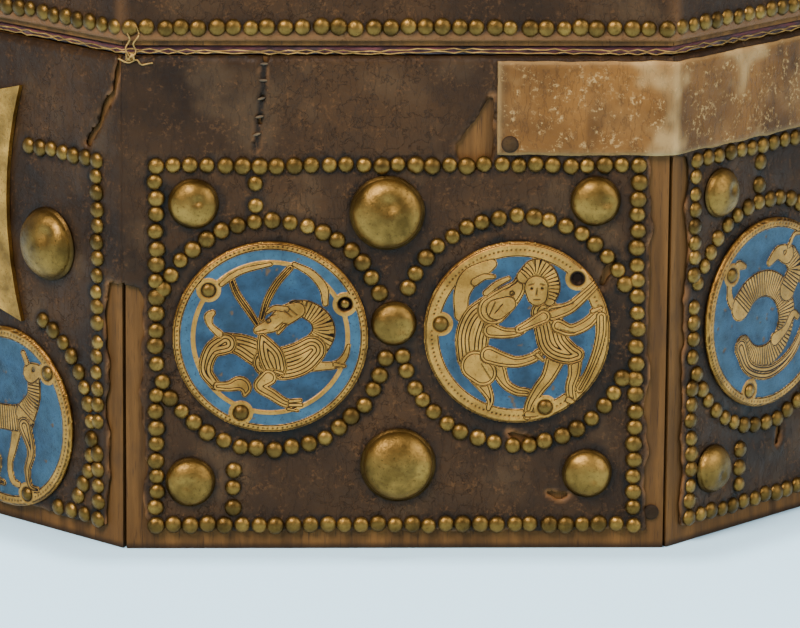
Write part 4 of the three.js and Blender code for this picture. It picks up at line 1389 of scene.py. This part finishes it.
class CASKET_OT_lid(bpy.types.Operator):
    """Covers the lid in leather, with its nails, bosses and medallion"""

    bl_idname = "casket.lid"
    bl_label = "Lid cover"

    def execute(self, context):
        low, high = LID_FOOT + LID_LAP, LID_SKIN_TOP
        self.cover(low, high)
        self.nails(low, high)
        for i in range(SIDES):
            angle = i * TURN - math.pi / 2
            x, y = LID_BOSS_RING * math.cos(angle), LID_BOSS_RING * math.sin(angle)
            dome(f"lid_boss_{i}", LID, x, y, 25.4, high, 600 + i)
        replaced = ("lid_medallion",)
        medallion("lid_enamel", LID, 0, 0, 32.75, COILED_BEAST, 44, 0.8, high + TOUCH, replaces=replaced)
        return {"FINISHED"}

    def profile(self, low, high):
        """Places out and up along the cover, from its lower edge over the bend to the middle of the top."""
        places = [(SKIN_OUT - 0.5, low), (SKIN_OUT, low + 0.7)]
        places += [(SKIN_OUT, z) for z in np.linspace(low + 2, high - LID_BEND, 22)]
        for t in np.linspace(0.3, math.pi / 2, 5):
            places.append((LID_BEND_OUT + LID_BEND * math.cos(t), high - LID_BEND + LID_BEND * math.sin(t)))
        crown = WALL_FACE + LID_BEND_OUT
        return places + [(LID_BEND_OUT - crown * f, high) for f in np.linspace(0.03, 0.9995, 44)]

    def cover(self, low, high):
        """The leather skin over the rim and the top, closed by its lining."""
        per_side = 48
        spread = np.linspace(-1, 1, per_side, endpoint=False)
        row, corner = low + LID_ROW, 0.5 * step(np.abs(spread), 0.975, 1.0)
        places, worn, grime = [], [], []
        for out, height in self.profile(low, high):
            for side in range(SIDES):
                u = (WALL_FACE + out) * HALF_TURN * spread
                if out > LID_BEND_OUT:
                    sunk = np.minimum(0.18 * rough_noise(u + 190 * side, height, 14, 400), 0)
                else:
                    sunk = np.minimum(0.2 * rough_noise(u + 190 * side, out, 22, 401), 0)
                if height < high - 0.01:
                    places.append(on_side(side, u, height, out + sunk))
                else:
                    faded = 0.0 if out < -WALL_FACE * 0.97 else sunk
                    places.append(on_side(side, u, height + faded, out))
                worn.append(np.clip(0.75 * corner + 0.85 * step(height, row - 0.4, row - 2.2), 0, 1))
                dirt = 0.6 * step(abs(height - row), 3.4, 1.4) * (height > row - 2)
                grime.append(np.full(per_side, dirt))
        places = np.concatenate(places)
        ring = per_side * SIDES
        index = np.arange(len(places)).reshape(-1, ring)
        after = np.roll(index, -1, axis=1)
        faces = np.stack([index[:-1], after[:-1], after[1:], index[1:]], axis=-1).reshape(-1, 4).tolist()
        faces.append(index[-1].tolist())
        half = (WALL_FACE + TOUCH) * HALF_TURN
        under = np.concatenate([on_side(side, half * spread, low, TOUCH) for side in range(SIDES)])
        roof = under.copy()
        roof[:, 2] = (high - SKIN) * MM
        inner = len(places) + np.arange(2 * ring).reshape(2, ring)
        for first, second in ((index[0], inner[0]), (inner[0], inner[1])):
            turned = [np.roll(first, -1), first, second, np.roll(second, -1)]
            faces += np.stack(turned, axis=-1).tolist()
        faces.append(inner[1, ::-1].tolist())
        places = np.concatenate([places, under, roof])
        clean = np.zeros(2 * ring)
        values = {"worn": np.concatenate(worn + [clean]), "grime": np.concatenate(grime + [clean])}
        leather, replaced = finish["leather"], ("lid_leather",)
        finished_piece("lid_leather_cover", places, faces, leather, values, replaces=replaced)

    def nails(self, low, high):
        """The row round the rim and the rows on the top, as one piece."""
        tree = nail_tree("lid_nail_heads", finish["brass"])
        chosen = settings()
        width, height, pitch = chosen.nail_width / MM, chosen.nail_height / MM, chosen.nail_pitch / MM
        wander = 0.25
        half = LEATHER_FACE * HALF_TURN - 3
        spots, facings = [], []
        for side in range(SIDES):
            line = along(-half, low + LID_ROW, half, low + LID_ROW, pitch)
            line = line + np.random.default_rng(500 + side).normal(0, wander, line.shape)
            spots.append(on_side(side, *line.T, SKIN_OUT - NAIL_SUNK))
            facings.append(side_facing(side, len(line)))
        flat = self.top_rows(pitch)
        flat = flat + np.random.default_rng(520).normal(0, wander, flat.shape)
        spots.append(np.column_stack([flat, np.full(len(flat), high - NAIL_SUNK)]) * MM)
        facings.append(np.zeros((len(flat), 3)))
        nail_row("lid_nails", np.concatenate(spots), np.concatenate(facings), tree, width, height, 61)

    def top_rows(self, pitch):
        """Rows along the edges of the top and in from its corners, and a ring round the medallion."""
        edge, start = LEATHER_FACE - 9, LID_NAIL_RING + 6
        slope = math.pi / SIDES
        end = edge / math.cos(slope) - pitch
        cos, sin = math.cos(slope), math.sin(slope)
        rows = [
            along(-edge * HALF_TURN, -edge, edge * HALF_TURN - pitch, -edge, pitch),
            along(start * cos, start * sin, end * cos, end * sin, pitch),
        ]
        sector = np.concatenate(rows)
        flat = []
        for side in range(SIDES):
            cos, sin = math.cos(side * TURN), math.sin(side * TURN)
            x, y = sector.T
            flat.append(np.stack([x * cos - y * sin, x * sin + y * cos], axis=1))
        count = round(2 * math.pi * LID_NAIL_RING / pitch)
        flat.append(around(0, 0, LID_NAIL_RING, 0, 2 * math.pi * (1 - 1 / count), pitch))
        return np.concatenate(flat)


KNOT = (-89.5, 170.6)
LOOSE_ENDS = (
    [(-89.5, 170.5, 1), (-91, 173.4, 1), (-89.6, 176.5, 1), (-90.6, 179.5, 1), (-89.8, 182.6, 1)],
    [(-89.5, 170.5, 1), (-87.6, 172.2, 1), (-88.4, 175.2, 1), (-86.6, 178.0, 1), (-87.4, 181.0, 1)],
    [(-93.5, 170.2, 1), (-90, 168.7, 1), (-87.2, 169.6, 1), (-85.6, 168.0, 1), (-82, 168.6, 1)],
)


class CASKET_OT_seam(bpy.types.Operator):
    """Lays the silk edge and the gilt threads along the joint of the lid"""

    bl_idname = "casket.seam"
    bl_label = "Silk edge and gilt threads"

    def execute(self, context):
        low, high = BODY_TOP + 0.4, LID_FOOT - 0.4
        self.silk(low, high)
        for strand in range(2):
            self.thread(strand, low)
        self.knot()
        return {"FINISHED"}

    def silk(self, low, high):
        """The bulging silk edge that shows in the joint."""
        per_side, around_count = 120, 10
        places = []
        for side in range(SIDES):
            for t in np.linspace(-1, 1, per_side, endpoint=False):
                u = t * (WALL_FACE - 1) * HALF_TURN
                way = u + 200 * side
                bulge = 1.5 + 0.9 * noise(way, 0, 7, 700) + 0.4 * noise(way, 3, 2, 701)
                for turn in np.linspace(0, 2 * math.pi, around_count, endpoint=False):
                    out = -2.2 + (bulge + 0.25 * noise(way, turn * 3, 1.3, 702)) * math.cos(turn)
                    places.append(on_side(side, u, (low + high) / 2 + 1.45 * math.sin(turn), out))
        index = np.arange(len(places)).reshape(-1, around_count)
        ahead, above = np.roll(index, -1, axis=0), np.roll(index, -1, axis=1)
        faces = np.stack([index, ahead, np.roll(ahead, -1, axis=1), above], axis=-1).reshape(-1, 4)
        finished_piece("silk_lining_edge", places, faces, finish["silk"], replaces=("silk_edge",))

    def thread(self, strand, low):
        """One of two gilt threads that cross over each other all round."""
        half = (WALL_FACE + 0.5) * HALF_TURN
        points = []
        for side in range(SIDES):
            for u in np.linspace(-half, half, 60, endpoint=False):
                way = u + 200 * side
                wave = 0.9 * noise(way, strand * 9, 16, 710) + 0.3 * noise(way, strand * 9, 5, 711)
                phase = u * 0.9 + 4 * noise(way, 5, 13, 713) + strand * math.pi
                height = low + 0.9 + 0.35 * math.cos(phase) + 0.5 * wave + 0.9 * strand
                points.append(on_side(side, u, height, 0.2 + 0.35 * math.sin(phase)))
        tube(f"gilt_thread_{strand}", np.array(points), 0.24, True)

    def knot(self):
        """The loose ends and the knot at the left corner of the front."""
        for i, line in enumerate(LOOSE_ENDS):
            x, z, _ = np.transpose(curve(line, 8))
            lift = 2.6 + 0.5 * np.sin(np.arange(len(x)) * 0.4)
            tube(f"loose_thread_{i}", on_side(FRONT, x, z, lift), 0.3, False)
        t = np.linspace(0, 2 * math.pi, 60)[:-1]
        x, z = KNOT[0] + 1.3 * np.sin(2 * t), KNOT[1] + 1.1 * np.cos(3 * t)
        tube("thread_knot", on_side(FRONT, x, z, 2.3 + 0.7 * np.sin(3 * t)), 0.34, True)


def tube(name, points, radius, closed):
    """A round thread through the given places."""
    count, spokes = len(points), 6
    ahead = np.roll(points, -1, axis=0) - np.roll(points, 1, axis=0)
    if not closed:
        ahead[0], ahead[-1] = points[1] - points[0], points[-1] - points[-2]
    ahead = ahead / np.linalg.norm(ahead, axis=1, keepdims=True)
    guide = np.where(np.abs(ahead[:, 2:3]) > 0.9, [[1.0, 0, 0]], [[0, 0, 1.0]])
    first = np.cross(ahead, guide)
    first = first / np.linalg.norm(first, axis=1, keepdims=True)
    second = np.cross(first, ahead)
    angle = np.arange(spokes)[None, :, None] * 2 * math.pi / spokes
    around_it = np.cos(angle) * first[:, None] + np.sin(angle) * second[:, None]
    places = (points[:, None] + radius * MM * around_it).reshape(-1, 3)
    index = np.arange(count * spokes).reshape(count, spokes)
    after, onward = np.roll(index, -1, axis=1), np.roll(index, -1, axis=0)
    faces = np.stack([index, after, np.roll(onward, -1, axis=1), onward], axis=-1)
    faces = (faces if closed else faces[:-1]).reshape(-1, 4).tolist()
    if not closed:
        faces += [index[0, ::-1].tolist(), index[-1].tolist()]
    finished_piece(name, places, faces, finish["thread"])


class CASKET_OT_stage(bpy.types.Operator):
    """Sets the floor, the lights and the camera"""

    bl_idname = "casket.stage"
    bl_label = "Stage"

    def execute(self, context):
        chosen = stage_settings()
        reach, below = 9.0, -0.2 * MM
        mesh = bpy.data.meshes.new("paper_floor")
        corners = [(x * reach, y * reach, below) for x, y in ((-1, -1), (1, -1), (1, 1), (-1, 1))]
        mesh.from_pydata(corners, [], [(0, 1, 2, 3)])
        mesh.materials.append(finish["paper"])
        floor = bpy.data.objects.new("paper_floor", mesh)
        context.collection.objects.link(floor)
        middle, near_front = (0, -0.1, 0.1), (0, -0.13, 0.1)
        self.light("key", (-0.9, -1.5, 1.7), middle, 1.1, chosen.key_power, (1.0, 0.98, 0.95))
        self.light("fill", (1.5, -1.1, 1.0), middle, 1.4, chosen.fill_power, (0.93, 0.97, 1.0))
        self.light("top", (0.0, -0.13, 1.6), near_front, 0.1, chosen.top_power, (0.88, 0.97, 1.0))
        self.light("back", (0.2, 1.2, 1.9), middle, 1.2, 0.6 * chosen.fill_power, (1.0, 1.0, 1.0))
        world = bpy.data.worlds.new("even_surround")
        world.use_nodes = True
        surround = world.node_tree.nodes["Background"]
        surround.inputs["Color"].default_value = linear("#e4eefc")
        surround.inputs["Strength"].default_value = chosen.sky
        context.scene.world = world
        self.camera(context, chosen.lens)
        return {"FINISHED"}

    def light(self, name, place, aim, size, power, colour):
        """A square softbox that points at its aim."""
        lamp = bpy.data.lights.new(f"{name}_softbox", "AREA")
        lamp.size, lamp.energy, lamp.color = size, power, colour
        holder = bpy.data.objects.new(f"{name}_softbox", lamp)
        holder.location = place
        holder.rotation_euler = (Vector(aim) - Vector(place)).to_track_quat("-Z", "Y").to_euler()
        bpy.context.collection.objects.link(holder)

    def camera(self, context, lens):
        """The photograph's camera, fitted to the corners, rows and discs that show. Angles are in degrees."""
        place = (-0.0637, -2.1023, 0.5395)
        yaw, pitch, roll = (math.radians(angle) for angle in (1.975, 13.670, 0.449))
        data = bpy.data.cameras.new("camera")
        data.lens, data.sensor_width = lens, 36
        data.clip_start, data.clip_end = 0.05, 30
        camera = bpy.data.objects.new("camera", data)
        forward = Vector((math.sin(yaw) * math.cos(pitch), math.cos(yaw) * math.cos(pitch), -math.sin(pitch)))
        level = forward.cross(Vector((0, 0, 1))).normalized()
        upright = level.cross(forward)
        right = math.cos(roll) * level + math.sin(roll) * upright
        up = math.cos(roll) * upright - math.sin(roll) * level
        turn = Matrix((right, up, -forward)).transposed()
        camera.matrix_world = Matrix.Translation(place) @ turn.to_4x4()
        context.collection.objects.link(camera)
        context.scene.camera = camera


class CASKET_PT_panel(bpy.types.Panel):
    """Sizes of the casket and the steps that dress it"""

    bl_label = "Casket"
    bl_idname = "CASKET_PT_panel"
    bl_space_type = "VIEW_3D"
    bl_region_type = "UI"
    bl_category = "Casket"

    def draw(self, context):
        for group in (context.scene.casket_settings, context.scene.casket_stage):
            for key in group.__annotations__:
                self.layout.prop(group, key)
        for operator in OPERATORS:
            self.layout.operator(operator.bl_idname)


OPERATORS = (
    CASKET_OT_stage,
    CASKET_OT_boards,
    CASKET_OT_leather,
    CASKET_OT_nails,
    CASKET_OT_bosses,
    CASKET_OT_medallions,
    CASKET_OT_lock,
    CASKET_OT_patch,
    CASKET_OT_lid,
    CASKET_OT_seam,
)
CLASSES = (CasketSettings, StageSettings, CASKET_PT_panel) + OPERATORS


def register():
    """Makes the classes known and gives the scene its settings."""
    for item in CLASSES:
        bpy.utils.register_class(item)
    bpy.types.Scene.casket_settings = bpy.props.PointerProperty(type=CasketSettings)
    bpy.types.Scene.casket_stage = bpy.props.PointerProperty(type=StageSettings)


def unregister():
    del bpy.types.Scene.casket_stage
    del bpy.types.Scene.casket_settings
    for item in reversed(CLASSES):
        bpy.utils.unregister_class(item)


def main():
    """Dresses the casket."""
    register()
    make_finishes()
    for operator in OPERATORS:
        group, name = operator.bl_idname.split(".")
        getattr(getattr(bpy.ops, group), name)()


if __name__ == "__main__":
    main()
